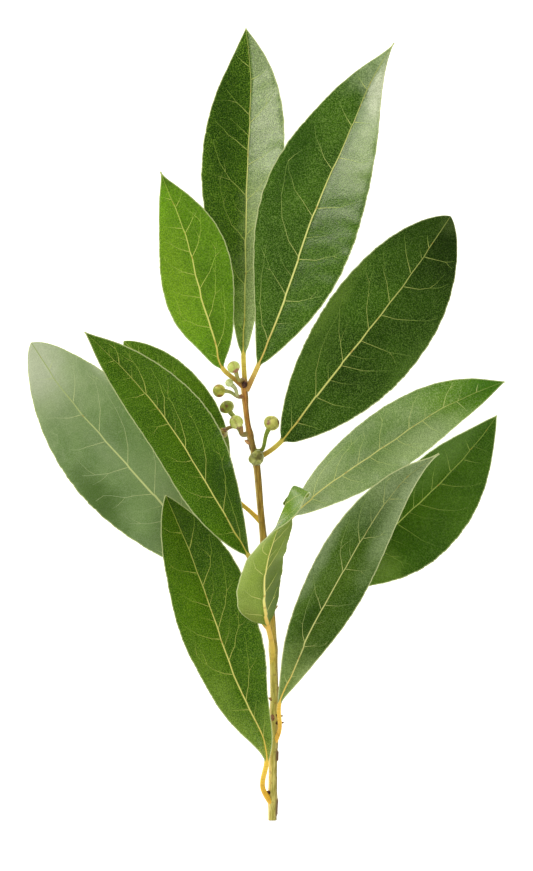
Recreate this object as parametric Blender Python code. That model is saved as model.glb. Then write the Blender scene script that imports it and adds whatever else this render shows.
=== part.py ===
"""Bay laurel branch: a cut twig with twelve leaves and its flower buds, lying on a flat surface.

Units are metres, +Z is up and Z = 0 is the surface. The twig runs along +Y, from its cut end to the tip
of the top leaf, and the origin is under the middle of the whole branch. Lists of places and sizes are in
millimetres and are turned into metres where a mesh is made.
"""
import math
from collections import namedtuple

import bmesh
import bpy
import numpy as np
from mathutils import Vector

MM = 0.001

# ---------------------------------------------------------------- driving dimensions, in millimetres
BLADE_THICK = 0.7          # a leaf's blade
RIB_WIDTH = 1.5            # the midrib where it leaves the stalk
RIB_HEIGHT = 0.75          # how far it stands below the blade there
STALK_RADIUS = 0.72        # a leaf's stalk
RIB_FADE = 0.65            # share of the midrib's size that is gone at the tip
RIB_SHARE = 0.3            # the most of a half width that the midrib takes
STALK_BLEND = 0.03         # share of the blade over which the stalk flattens into it
FOOT_PLACE = 0.05          # share of the blade at which its foot is widest
TIP_HALF = 0.35            # half width that the pointed tip keeps
GAP = 0.3                  # air between the stem and what grows from it
CONE_SHARES = (0.0, 0.35, 0.7, 0.92, 1.0)        # a pointed bud: its rings' places from root to tip
CONE_FULLNESS = (0.95, 1.0, 0.72, 0.36, 0.12)    # and the share of its radius that each of them has

# ---------------------------------------------------------------- how finely it is meshed
BLADE_RINGS = 21
RING_CROWDING = 0.45       # how far a blade's rings draw together at both of its ends
STALK_RINGS = 6
BLADE_COLUMNS = (-1.0, -0.55, None, 0.0, None, 0.55, 1.0)    # None: the edge of the midrib
STALK_TURN = 27.0          # degrees round the stalk from one column to the next
FOOT_STEPS = 200           # places tried when looking for a stalk's foot
STEM_SIDES = 12
STEM_RINGS = 56
FINE_STEM_RINGS = 4 * STEM_RINGS
CONE_SIDES = 8
BUD_SIDES = 10
BUD_STALK_RINGS = 4
BUD_RINGS = 9
BUD_CLOSE = 172.0          # degrees round a bud, from its stalk, at which its skin is closed
SHARP_ANGLE = 50.0         # degrees between two faces above which the edge is shaded sharp

# The stem's axis, from the cut end to the end bud
STEM_AXIS = (
    (1.8, -110.0, 1.22), (2.0, -93.3, 2.6), (2.3, -79.4, 4.2), (2.1, -65.6, 6.3), (1.6, -54.4, 8.3),
    (0.3, -40.6, 10.6), (-0.8, -30.8, 12.1), (-1.9, -18.3, 14.1), (-2.9, -9.4, 15.4), (-4.7, -1.7, 16.2),
    (-5.8, 6.7, 16.9), (-6.1, 12.4, 17.2),
)
STEM_RADII = (1.22, 1.18, 1.16, 1.12, 1.06, 1.02, 1.0, 0.95, 0.92, 0.78, 0.80, 0.66)
# Swellings at the nodes: place along Y, added radius, half length
STEM_NODES = (
    (-104.0, 0.22, 2.2), (-88.0, 0.18, 2.0), (-79.5, 0.16, 2.4), (-62.5, 0.22, 2.0), (-46.0, 0.14, 2.0),
    (-33.5, 0.16, 1.8), (-9.6, 0.34, 1.7), (-2.8, 0.26, 1.4), (7.2, 0.16, 1.6), (10.4, 0.30, 1.5),
)
# Dormant buds and scars on the stem: root, tip, radius
STEM_SCARS = (
    ((2.0, -82.0, 4.4), (1.6, -80.4, 6.2), 0.62),
    ((2.4, -80.6, 4.4), (4.2, -80.7, 4.6), 0.45),
    ((2.3, -82.9, 4.0), (4.3, -82.7, 4.1), 0.45),
    ((1.6, -51.6, 8.9), (3.3, -50.2, 9.6), 0.50),
    ((1.5, -102.6, 2.2), (0.2, -101.8, 3.0), 0.55),
    ((-4.3, -5.4, 15.9), (-5.9, -4.5, 16.2), 0.62),
)
END_BUD = ((-6.1, 11.0, 17.5), (-5.8, 12.9, 18.7), 0.66)

# A leaf: its path from the stem's axis to its tip, how many of those points are its stalk, the widest half
# of its blade, where along the blade that is, and how full the outline is (2 is a parabola, less is
# blunter). roll, fold and curl are degrees and wave is millimetres, each spread evenly along the blade:
# roll lifts the right side, fold lifts both sides, curl bends each side on upwards, and wave lifts and
# drops the margins. waves is how many there are, and shift is where they start. skew makes the right side
# wider than the left by that share, and is spread along the blade as well. foot is how many millimetres
# of half width the blade has besides, just above its stalk.
Leaf = namedtuple("Leaf", "name path stalk width peak full roll fold skew curl wave waves shift foot",
                  defaults=((0.0,), (0.0,), (0.0,), (0.0,), (0.0,), 2.0, 0.0, 0.0))

LEAVES = (
    Leaf("leaf_top_middle",
         ((-5.7, 9.8, 16.4), (-6.0, 14.0, 15.8), (-6.2, 18.5, 15.4), (-5.8, 31.4, 14.6), (-5.5, 55.0, 11.6),
          (-4.6, 81.6, 6.2), (-4.5, 100.6, 1.9), (-5.6, 109.9, 0.4)),
         3, 12.6, 0.57, 2.4, (8.0, 14.0, 12.0, 4.0), (30.0, 28.0, 22.0, 12.0),
         skew=(0.10, 0.0, -0.03, -0.05), wave=(0.4,), waves=2.5, shift=0.1, foot=1.1),
    Leaf("leaf_top_right",
         ((-5.4, 9.3, 17.2), (-4.0, 12.0, 18.2), (-2.4, 15.5, 19.0), (5.8, 36.2, 21.6), (14.5, 61.0, 22.6),
          (22.9, 79.8, 21.4), (28.7, 93.4, 19.4), (35.3, 104.9, 17.0)),
         3, 15.5, 0.47, 2.6, (8.0, 11.0, 14.0, 20.0, 12.0), (20.0, 20.0, 20.0, 18.0, 8.0),
         skew=(0.14, 0.10, 0.0, -0.09, 0.0), wave=(0.4,), waves=2.2, shift=0.4, foot=0.6),
    Leaf("leaf_top_left",
         ((-5.8, 9.9, 17.1), (-8.9, 12.5, 17.5), (-11.7, 15.0, 17.8), (-13.8, 21.6, 18.3),
          (-16.8, 31.4, 18.8), (-21.8, 50.6, 18.6), (-26.9, 64.0, 17.4), (-29.1, 69.5, 16.8)),
         3, 10.6, 0.46, 2.2, (0.0, -2.0, 3.0), (20.0, 20.0, 14.0),
         skew=(-0.10, -0.06, 0.07, 0.08), wave=(0.3,), waves=2.0, shift=0.3),
    Leaf("leaf_right_upper",
         ((-2.9, -9.6, 15.4), (0.4, -7.9, 16.2), (4.0, -5.0, 16.4), (7.8, -0.3, 16.3), (15.7, 10.0, 15.6),
          (31.6, 30.1, 13.6), (43.7, 46.4, 11.6), (51.0, 57.4, 10.4)),
         3, 15.7, 0.52, 1.55, (-4.0, -7.0, -5.0), (22.0, 20.0, 14.0),
         skew=(0.14, 0.08, 0.04, 0.0, -0.06), wave=(0.4,), waves=3.0, shift=0.2),
    Leaf("leaf_right_middle",
         ((-0.7, -33.6, 11.6), (3.2, -29.4, 12.0), (7.2, -25.4, 11.8), (20.1, -14.9, 10.8),
          (34.4, -5.2, 9.9), (48.1, 3.9, 9.6), (66.0, 11.7, 9.8)),
         3, 9.5, 0.48, 1.7, (8.0, 8.0, 8.0), (30.0, 26.0, 20.0),
         skew=(0.12, -0.01, 0.0), wave=(0.35,), waves=2.6, shift=0.0),
    Leaf("leaf_right_back",
         ((2.1, -77.0, 4.5), (10.5, -61.0, 5.0), (19.2, -46.1, 4.4), (36.0, -27.9, 3.0), (49.0, -15.6, 1.3),
          (59.2, -4.2, 0.5), (64.1, 2.4, 0.9)),
         3, 13.4, 0.46, 2.1, (-8.0, -8.0, -4.0), (32.0, 30.0, 12.0),
         skew=(0.30, 0.25, 0.17, 0.10, 0.05), wave=(0.4,), waves=2.4, shift=0.6),
    Leaf("leaf_right_lower",
         ((2.1, -88.8, 3.2), (3.8, -84.4, 5.4), (3.6, -78.4, 7.4), (5.6, -72.6, 8.6), (10.7, -60.7, 10.8),
          (19.9, -43.2, 13.0), (30.1, -25.9, 15.2), (41.3, -12.6, 16.6), (47.7, -8.2, 17.0)),
         3, 9.1, 0.49, 2.35, (2.0, 0.0, -3.0), (26.0, 26.0, 20.0),
         skew=(-0.10, 0.02, -0.08, 0.0), wave=(0.4,), waves=2.8, shift=0.5),
    Leaf("leaf_left_lower",
         ((1.6, -105.2, 1.9), (-0.9, -100.8, 3.6), (0.1, -94.3, 5.6), (-5.1, -77.9, 8.2),
          (-13.7, -55.9, 9.8), (-21.6, -34.2, 9.4), (-27.8, -19.7, 8.4)),
         3, 11.8, 0.54, 1.95, (-8.0, -6.0, -4.0), (24.0, 22.0, 14.0),
         skew=(-0.30, -0.19, -0.02, -0.03, 0.03, 0.0, -0.08), wave=(0.4,), waves=2.6, shift=0.1),
    Leaf("leaf_front_curled",
         ((1.9, -66.6, 6.1), (1.6, -61.0, 8.7), (0.4, -55.5, 13.0), (-0.8, -47.5, 22.0),
          (-0.5, -40.5, 26.2), (1.1, -33.5, 28.8), (3.6, -26.5, 30.6), (5.9, -20.8, 31.6),
          (7.6, -17.2, 31.2), (9.2, -18.2, 28.0), (9.2, -20.8, 24.5)),
         3, 9.9, 0.47, 1.25, (164.0, 149.0, 136.0, 122.0, 89.0, 74.0),
         (22.0, 17.0, 5.0, -6.0, -30.0, -46.0), skew=(-0.06, -0.06, -0.03, -0.04, -0.25, -0.2),
         wave=(0.15,), waves=2.4, shift=0.35),
    Leaf("leaf_left_front",
         ((0.7, -46.4, 10.0), (-2.2, -41.2, 12.2), (-4.7, -36.6, 13.6), (-16.1, -17.0, 17.2),
          (-27.9, 1.5, 19.2), (-40.0, 15.8, 20.4), (-49.9, 25.3, 20.6)),
         3, 10.6, 0.49, 1.95, (-2.0, -8.0, -8.0), (24.0, 28.0, 22.0),
         skew=(-0.28, -0.04, 0.12, 0.06, 0.0), wave=(0.4,), waves=2.3, shift=0.2),
    Leaf("leaf_left_behind",
         ((-1.1, -27.4, 12.6), (-5.0, -23.6, 12.2), (-8.5, -20.6, 11.8), (-14.4, -6.0, 10.2),
          (-25.6, 9.6, 8.4), (-39.4, 22.9, 6.6)),
         3, 8.2, 0.53, 1.65, (4.0, 4.0, 4.0), (8.0, 8.0, 4.0), skew=(-0.50, -0.35, -0.18, -0.04, 0.0),
         wave=(0.3,)),
    Leaf("leaf_left_outer",
         ((1.2, -57.0, 7.7), (-6.4, -48.4, 7.2), (-13.6, -40.0, 6.4), (-30.9, -20.0, 3.4),
          (-46.4, -2.7, 1.3), (-58.6, 12.3, 0.5), (-65.2, 22.6, 0.9)),
         3, 15.2, 0.48, 1.45, (-12.0, -10.0, -4.0), (5.0, 4.0, 1.0),
         skew=(0.0, -0.01, 0.02, 0.2), wave=(0.35,), waves=2.2, shift=0.7),
)

# A bud: its stalk's path from root to the middle of the globe, the globe's radius, the stalk's radius
Bud = namedtuple("Bud", "path radius stalk")
UPPER_LEFT_ROOT = (-7.6, 7.5, 17.5)
LEFT_ROOT = (-6.4, -3.0, 16.4)
BUD_SPRAYS = {
    "bud_top": (Bud(((-7.4, 12.0, 18.9), (-8.0, 13.4, 19.8), (-8.9, 15.6, 20.6)), 1.7, 0.62),),
    "buds_upper_left": (
        Bud((UPPER_LEFT_ROOT, (-9.4, 8.5, 17.6), (-12.9, 9.2, 17.4)), 1.8, 0.48),
        Bud((UPPER_LEFT_ROOT, (-8.3, 9.3, 18.8), (-10.1, 11.3, 19.8)), 1.1, 0.50),
    ),
    "buds_left": (
        Bud((LEFT_ROOT, (-6.9, -1.2, 16.8), (-8.2, 0.5, 17.6)), 1.95, 0.75),
        Bud((LEFT_ROOT, (-7.6, 0.6, 15.4), (-9.4, 2.6, 15.3), (-10.7, 4.7, 15.8)), 1.8, 0.55),
        Bud((LEFT_ROOT, (-8.2, -1.6, 14.8), (-10.0, -1.4, 14.6), (-11.9, -2.5, 15.0)), 1.4, 0.50),
    ),
    "bud_right": (Bud(((-1.2, -7.2, 17.4), (-0.2, -4.0, 18.3), (1.6, 0.2, 18.8)), 2.1, 0.55),),
    "bud_node": (Bud(((-2.8, -9.5, 17.05), (-2.7, -9.4, 18.0), (-2.6, -9.4, 19.3)), 2.1, 0.85),),
}

# Colours are linear, with a roughness
LEAF_GREENS = {
    "leaf_top_middle": (0.050, 0.120, 0.020), "leaf_top_right": (0.070, 0.160, 0.030),
    "leaf_top_left": (0.160, 0.300, 0.020), "leaf_right_upper": (0.035, 0.100, 0.012),
    "leaf_right_middle": (0.220, 0.360, 0.120), "leaf_right_back": (0.040, 0.120, 0.012),
    "leaf_right_lower": (0.100, 0.190, 0.070), "leaf_left_lower": (0.040, 0.120, 0.008),
    "leaf_front_curled": (0.260, 0.380, 0.090), "leaf_left_front": (0.050, 0.150, 0.010),
    "leaf_left_behind": (0.050, 0.140, 0.015), "leaf_left_outer": (0.200, 0.310, 0.140),
}
LEAF_ROUGHNESS = 0.42
BARK = (0.33, 0.22, 0.045)
BARK_ROUGHNESS = 0.62
BUD_GREEN = (0.36, 0.38, 0.10)
BUD_ROUGHNESS = 0.5


# ---------------------------------------------------------------- curves
def spline_through(knots, values, at):
    """The natural cubic spline through values at knots, read at the places in at."""
    knots, values, at = (np.asarray(item, dtype=float) for item in (knots, values, at))
    if len(knots) == 1:
        return np.repeat(values, len(at), axis=0)
    step = np.diff(knots)
    slope = (np.diff(values, axis=0).T / step).T
    count = len(knots)
    system = np.eye(count)
    right = np.zeros_like(values)
    for i in range(1, count - 1):
        system[i, i - 1:i + 2] = step[i - 1], 2.0 * (step[i - 1] + step[i]), step[i]
        right[i] = 6.0 * (slope[i] - slope[i - 1])
    bend = np.linalg.solve(system, right)
    spot = np.clip(np.searchsorted(knots, at, side="right") - 1, 0, count - 2)
    width = step[spot]
    after = (at - knots[spot]) / width
    before = 1.0 - after
    shape = (-1,) + (1,) * (values.ndim - 1)
    after, before, width = (item.reshape(shape) for item in (after, before, width))
    return (before * values[spot] + after * values[spot + 1]
            + ((before ** 3 - before) * bend[spot] + (after ** 3 - after) * bend[spot + 1])
            * width ** 2 / 6.0)


def chord_lengths(points):
    """The distance run along a chain of points, up to each of them."""
    points = np.asarray(points, dtype=float)
    return np.concatenate(([0.0], np.cumsum(np.linalg.norm(np.diff(points, axis=0), axis=1))))


def spread(values, at):
    """Values spaced evenly over 0 to 1, read smoothly at the places in at."""
    return spline_through(np.linspace(0.0, 1.0, len(values)), values, at)


def tangents(points):
    """Unit directions along a chain of points."""
    ahead = np.gradient(points, axis=0)
    return ahead / np.linalg.norm(ahead, axis=1)[:, None]


def side_vectors(ahead):
    """Unit vectors across each direction: level and to the right at the start, then carried untwisted."""
    first = np.cross(ahead[0], (0.0, 0.0, 1.0))
    sides = [first / np.linalg.norm(first)]
    for direction in ahead[1:]:
        side = sides[-1] - np.dot(sides[-1], direction) * direction
        sides.append(side / np.linalg.norm(side))
    return np.array(sides)


# ---------------------------------------------------------------- meshes
def add_object(name, vertices, faces, material):
    """A mesh object with outward faces, its vertices given in millimetres."""
    mesh = bpy.data.meshes.new(name)
    mesh.from_pydata([Vector(point) * MM for point in vertices], [], faces)
    shape = bmesh.new()
    shape.from_mesh(mesh)
    bmesh.ops.recalc_face_normals(shape, faces=shape.faces)
    shape.to_mesh(mesh)
    shape.free()
    mesh.shade_smooth()
    mesh.set_sharp_from_angle(angle=math.radians(SHARP_ANGLE))
    mesh.materials.append(material)
    obj = bpy.data.objects.new(name, mesh)
    bpy.context.scene.collection.objects.link(obj)
    return obj


def loft(rings, diagonals_alike=False):
    """Vertices and triangles of a skin over closed rings, with a fan over each end.

    With diagonals_alike the two halves of every ring face each other across a thin blade, and the quads
    of both halves are split along the same diagonal.
    """
    sides = len(rings[0])
    vertices = [point for ring in rings for point in ring]
    faces = []
    for row in range(len(rings) - 1):
        for i in range(sides):
            j = (i + 1) % sides
            a, b = row * sides + i, row * sides + j
            c, d = b + sides, a + sides
            if diagonals_alike and i >= sides // 2:
                faces += [(a, b, d), (b, c, d)]
            else:
                faces += [(a, b, c), (a, c, d)]
    for first, last in ((0, rings[0]), (len(rings) - 1, rings[-1])):
        centre = len(vertices)
        vertices.append(np.mean(last, axis=0))
        start = first * sides
        for i in range(sides):
            faces.append((start + i, start + (i + 1) % sides, centre))
    return vertices, faces


def round_rings(points, radii, sides):
    """Rings of a round tube along a chain of points."""
    points = np.asarray(points, dtype=float)
    ahead = tangents(points)
    side = side_vectors(ahead)
    up = np.cross(side, ahead)
    turns = [2.0 * math.pi * i / sides for i in range(sides)]
    return [[points[k] + radii[k] * (math.cos(a) * side[k] + math.sin(a) * up[k]) for a in turns]
            for k in range(len(points))]


def fuse(base, helpers):
    """Join helper objects to base with one Boolean union, and remove them."""
    group = bpy.data.collections.new(base.name + "_parts")
    bpy.context.scene.collection.children.link(group)
    for helper in helpers:
        bpy.context.scene.collection.objects.unlink(helper)
        group.objects.link(helper)
    union = base.modifiers.new("union", "BOOLEAN")
    union.operation = "UNION"
    union.solver = "EXACT"
    union.operand_type = "COLLECTION"
    union.collection = group
    bpy.context.view_layer.update()
    joined = bpy.data.meshes.new_from_object(base.evaluated_get(bpy.context.evaluated_depsgraph_get()))
    base.modifiers.clear()
    base.data = joined
    for helper in list(group.objects):
        bpy.data.objects.remove(helper)
    bpy.data.collections.remove(group)


def make_material(name, colour, roughness):
    """A plain Principled material."""
    material = bpy.data.materials.new(name)
    material.use_nodes = True
    shader = material.node_tree.nodes["Principled BSDF"]
    shader.inputs["Base Color"].default_value = (*colour, 1.0)
    shader.inputs["Roughness"].default_value = roughness
    shader.inputs["Metallic"].default_value = 0.0
    material.diffuse_color = (*colour, 1.0)
    return material


# ---------------------------------------------------------------- the stem
def stem_line(count):
    """The stem's axis and radius at evenly spaced places, from the cut end up."""
    along = chord_lengths(STEM_AXIS)
    at = np.linspace(0.0, along[-1], count)
    axis = spline_through(along, STEM_AXIS, at)
    radius = np.interp(at, along, STEM_RADII)
    for place, swelling, half in STEM_NODES:
        radius = radius + swelling * np.exp(-((axis[:, 1] - place) / half) ** 2)
    return axis, radius


def cone_bud(root, tip, radius, material, name):
    """A small pointed bud standing on its root."""
    line = [np.array(root) + (np.array(tip) - np.array(root)) * share for share in CONE_SHARES]
    radii = [radius * share for share in CONE_FULLNESS]
    return add_object(name, *loft(round_rings(line, radii, CONE_SIDES)), material)


def make_stem():
    """The woody stem with its dormant buds and the end bud."""
    bark = make_material("bark", BARK, BARK_ROUGHNESS)
    axis, radius = stem_line(STEM_RINGS)
    stem = add_object("stem", *loft(round_rings(axis, radius, STEM_SIDES)), bark)
    small = [cone_bud(root, tip, size, bark, f"scar_{i}") for i, (root, tip, size) in enumerate(STEM_SCARS)]
    small.append(cone_bud(*END_BUD, bark, "end_bud"))
    fuse(stem, small)
    return stem


# ---------------------------------------------------------------- the leaves
def blade_half_width(leaf, t):
    """Half width of the blade at t, its share of the way from base to tip."""
    rise, fall = leaf.peak * leaf.full, (1.0 - leaf.peak) * leaf.full
    top = leaf.peak ** rise * (1.0 - leaf.peak) ** fall
    foot = leaf.foot * t / FOOT_PLACE * math.exp(1.0 - t / FOOT_PLACE)
    return leaf.width * t ** rise * (1.0 - t) ** fall / top + foot


def clear_of_stem(points):
    """The first place in a leaf's path whose stalk keeps the gap from the stem."""
    axis, radius = stem_line(FINE_STEM_RINGS)
    for k, point in enumerate(points):
        reach = np.linalg.norm(axis - point, axis=1) - radius
        if reach.min() > STALK_RADIUS + GAP:
            return k
    raise ValueError("a leaf never leaves the stem")


def leaf_line(leaf):
    """Ring centres from the stalk's foot to the tip, with t for each: below 0 on the stalk."""
    along = chord_lengths(leaf.path)
    base = along[leaf.stalk - 1]
    fine = np.linspace(0.0, base, FOOT_STEPS)
    foot = fine[clear_of_stem(spline_through(along, leaf.path, fine))]
    even = np.linspace(0.0, 1.0, BLADE_RINGS)
    crowded = 0.5 - 0.5 * np.cos(math.pi * even)
    blade_t = even + RING_CROWDING * (crowded - even)
    stalk = np.linspace(foot, base, STALK_RINGS, endpoint=False)
    at = np.concatenate((stalk, base + blade_t * (along[-1] - base)))
    t = np.concatenate(((stalk - base) / (along[-1] - base), blade_t))
    return spline_through(along, leaf.path, at), t


def leaf_section(leaf, t):
    """One ring of the leaf in its own plane: (across, up) pairs, top half then bottom half."""
    blade_t = max(t, 0.0)
    half = max(blade_half_width(leaf, blade_t), TIP_HALF)
    blend = min(max(t / STALK_BLEND, 0.0), 1.0)
    blend = blend * blend * (3.0 - 2.0 * blend)
    fade = 1.0 - RIB_FADE * blade_t
    rib_edge = min(0.5 * RIB_WIDTH * fade / half, RIB_SHARE)
    fold = math.radians(float(spread(leaf.fold, [blade_t])[0]))
    curl = math.radians(float(spread(leaf.curl, [blade_t])[0]))
    skew = float(spread(leaf.skew, [blade_t])[0])
    lift = float(spread(leaf.wave, [blade_t])[0])
    swing = math.sin(2.0 * math.pi * (leaf.waves * blade_t + leaf.shift))
    thick = 0.5 * BLADE_THICK
    top, bottom = [], []
    for place, column in enumerate(BLADE_COLUMNS):
        from_middle = place - len(BLADE_COLUMNS) // 2
        s = math.copysign(rib_edge, from_middle) if column is None else column
        lean = fold + curl * abs(s)
        reach = half * (1.0 + (skew if s > 0.0 else -skew))
        across = reach * s * math.cos(lean)
        up = reach * abs(s) * math.sin(lean) + lift * s * s * swing * half / leaf.width
        rib = RIB_HEIGHT * fade if column == 0.0 else 0.0
        turn = math.radians(STALK_TURN * from_middle)
        round_x, round_z = STALK_RADIUS * math.sin(turn), STALK_RADIUS * math.cos(turn)
        top.append((round_x + (across - round_x) * blend, round_z + (up + thick - round_z) * blend))
        bottom.append((round_x + (across - round_x) * blend,
                       -round_z + (up - thick - rib + round_z) * blend))
    return top + bottom[::-1]


def leaf_rings(leaf):
    """Every ring of a leaf in space. What would sink below the surface is pressed flat on it."""
    points, places = leaf_line(leaf)
    ahead = tangents(points)
    side = side_vectors(ahead)
    up = np.cross(side, ahead)
    roll = np.radians(spread(leaf.roll, np.clip(places, 0.0, 1.0)))
    rings = []
    for k, t in enumerate(places):
        across = math.cos(roll[k]) * side[k] + math.sin(roll[k]) * up[k]
        above = math.cos(roll[k]) * up[k] - math.sin(roll[k]) * side[k]
        ring = [points[k] + x * across + z * above for x, z in leaf_section(leaf, float(t))]
        half = len(ring) // 2
        for i, point in enumerate(ring):
            point[2] = max(point[2], BLADE_THICK if i < half else 0.0)
        rings.append(ring)
    return rings


def make_leaf(leaf):
    """A leaf: stalk, blade and midrib in one solid."""
    material = make_material(leaf.name, LEAF_GREENS[leaf.name], LEAF_ROUGHNESS)
    return add_object(leaf.name, *loft(leaf_rings(leaf), diagonals_alike=True), material)


# ---------------------------------------------------------------- the flower buds
def bud_rings(bud):
    """Rings of a stalk that ends in a round bud."""
    along = chord_lengths(bud.path)
    neck = along[-1] - math.sqrt(bud.radius ** 2 - bud.stalk ** 2)
    at = list(np.linspace(0.0, neck, BUD_STALK_RINGS, endpoint=False))
    radii = [bud.stalk] * len(at)
    first = math.asin(bud.stalk / bud.radius)
    for angle in np.linspace(first, math.radians(BUD_CLOSE), BUD_RINGS):
        at.append(along[-1] - bud.radius * math.cos(angle))
        radii.append(bud.radius * math.sin(angle))
    inside = [a for a in at if a <= along[-1]]
    line = list(spline_through(along, bud.path, inside))
    ahead = np.array(bud.path[-1]) - np.array(line[-3])
    ahead /= np.linalg.norm(ahead)
    line += [np.array(bud.path[-1]) + ahead * (a - along[-1]) for a in at[len(inside):]]
    return round_rings(line, radii, BUD_SIDES)


def make_spray(name, buds):
    """The buds of one leaf axil, fused where their stalks meet."""
    green = make_material(name, BUD_GREEN, BUD_ROUGHNESS)
    pieces = [add_object(f"{name}_{i}" if i else name, *loft(bud_rings(bud)), green)
              for i, bud in enumerate(buds)]
    if len(pieces) > 1:
        fuse(pieces[0], pieces[1:])


def main():
    for old in list(bpy.data.objects):
        bpy.data.objects.remove(old, do_unlink=True)
    make_stem()
    for leaf in LEAVES:
        make_leaf(leaf)
    for name, buds in BUD_SPRAYS.items():
        make_spray(name, buds)


main()
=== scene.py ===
"""Looks of the bay laurel branch: detailed leaves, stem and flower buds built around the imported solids.

Lengths are in millimetres where a shape is worked out, and turned into metres where its mesh is made.
"""
import math
import random
from collections import namedtuple

import bmesh
import bpy
import numpy as np
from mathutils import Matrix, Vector


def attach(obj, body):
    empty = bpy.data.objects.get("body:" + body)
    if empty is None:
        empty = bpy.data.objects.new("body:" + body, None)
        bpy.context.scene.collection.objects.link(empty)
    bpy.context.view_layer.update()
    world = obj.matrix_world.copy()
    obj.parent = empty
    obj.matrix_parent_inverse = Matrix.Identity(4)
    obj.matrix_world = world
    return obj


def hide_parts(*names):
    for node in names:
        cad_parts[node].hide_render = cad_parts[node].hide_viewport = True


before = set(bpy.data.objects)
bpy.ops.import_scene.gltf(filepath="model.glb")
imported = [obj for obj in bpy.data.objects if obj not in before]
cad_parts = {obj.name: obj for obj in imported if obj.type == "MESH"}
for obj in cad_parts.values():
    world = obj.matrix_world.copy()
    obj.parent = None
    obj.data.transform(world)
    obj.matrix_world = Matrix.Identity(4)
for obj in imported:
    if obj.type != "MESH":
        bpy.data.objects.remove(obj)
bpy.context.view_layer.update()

MM = 0.001

# ---------------- the branch's own dimensions
STALK_RADIUS = 0.72
STALK_BLEND = 0.03          # share of the blade over which the stalk turns into it
FOOT_PLACE = 0.05           # share of the blade at which its foot is widest
GAP = 0.3                   # how clear of the stem a stalk has to be to have left it
BLADE_THICK = 0.42
REST_HEIGHT = 0.3           # the least height of a blade's middle above the surface

STEM_AXIS = (
    (1.8, -110.0, 1.22), (2.0, -93.3, 2.6), (2.3, -79.4, 4.2), (2.1, -65.6, 6.3), (1.6, -54.4, 8.3),
    (0.3, -40.6, 10.6), (-0.8, -30.8, 12.1), (-1.9, -18.3, 14.1), (-2.9, -9.4, 15.4), (-4.7, -1.7, 16.2),
    (-5.8, 6.7, 16.9), (-6.1, 12.4, 17.2),
)
STEM_RADII = (1.22, 1.18, 1.16, 1.12, 1.06, 1.02, 1.0, 0.95, 0.92, 0.78, 0.80, 0.66)
STEM_NODES = (
    (-104.0, 0.22, 2.2), (-88.0, 0.18, 2.0), (-79.5, 0.16, 2.4), (-62.5, 0.22, 2.0), (-46.0, 0.14, 2.0),
    (-33.5, 0.16, 1.8), (-9.6, 0.34, 1.7), (-2.8, 0.26, 1.4), (7.2, 0.16, 1.6), (10.4, 0.30, 1.5),
)
# Scars and scales on the bark: root, tip, size and how pale each is. The last is the bud at the stem's end.
Scar = namedtuple("Scar", "root tip size tone")
STEM_SCARS = (
    Scar((2.0, -82.0, 4.4), (1.6, -80.4, 6.2), 0.62, 0.35),
    Scar((2.4, -80.6, 4.4), (4.8, -80.9, 6.4), 0.50, 0.0),
    Scar((2.3, -82.9, 4.0), (5.0, -82.7, 5.8), 0.55, 0.0),
    Scar((1.6, -51.6, 8.9), (3.3, -50.2, 9.6), 0.50, 0.5),
    Scar((1.5, -102.6, 2.2), (0.2, -101.8, 3.0), 0.55, 0.0),
    Scar((-4.3, -5.4, 15.9), (-5.9, -4.5, 16.2), 0.62, 1.0),
    Scar((1.7, -76.6, 5.0), (0.7, -75.8, 5.6), 0.42, 0.5),
    Scar((-6.0, 10.4, 17.5), (-5.7, 11.5, 19.2), 0.84, 0.0),
)
# Flakes of old bark: first and last place along Y, the angle round the stem from +X, half its width there
# and the height
FLAKES = (
    (-93.6, -90.4, 0.35, 0.60, 0.34), (-108.8, -103.8, 0.30, 0.60, 0.26), (-101.6, -97.4, 0.0, 0.40, 0.10),
    (-7.2, -3.8, 2.9, 0.50, 0.20),
)

# A leaf's path runs from the stem to the tip, and stalk is how many of its points belong to the stalk. width
# is half the blade's greatest width, peak the share of the length where it lies, full how slender both ends
# are, and foot what is added at the base. The tuples are spread along the blade: roll about the path, fold
# up from the midrib, skew of the width to the right, curl of the margins, and the height of their waves;
# waves is how many of those there are, and shift where they start.
Leaf = namedtuple("Leaf", "name path stalk width peak full roll fold skew curl wave waves shift foot",
                  defaults=((0.0,), (0.0,), (0.0,), (0.0,), (0.0,), 2.0, 0.0, 0.0))

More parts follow.
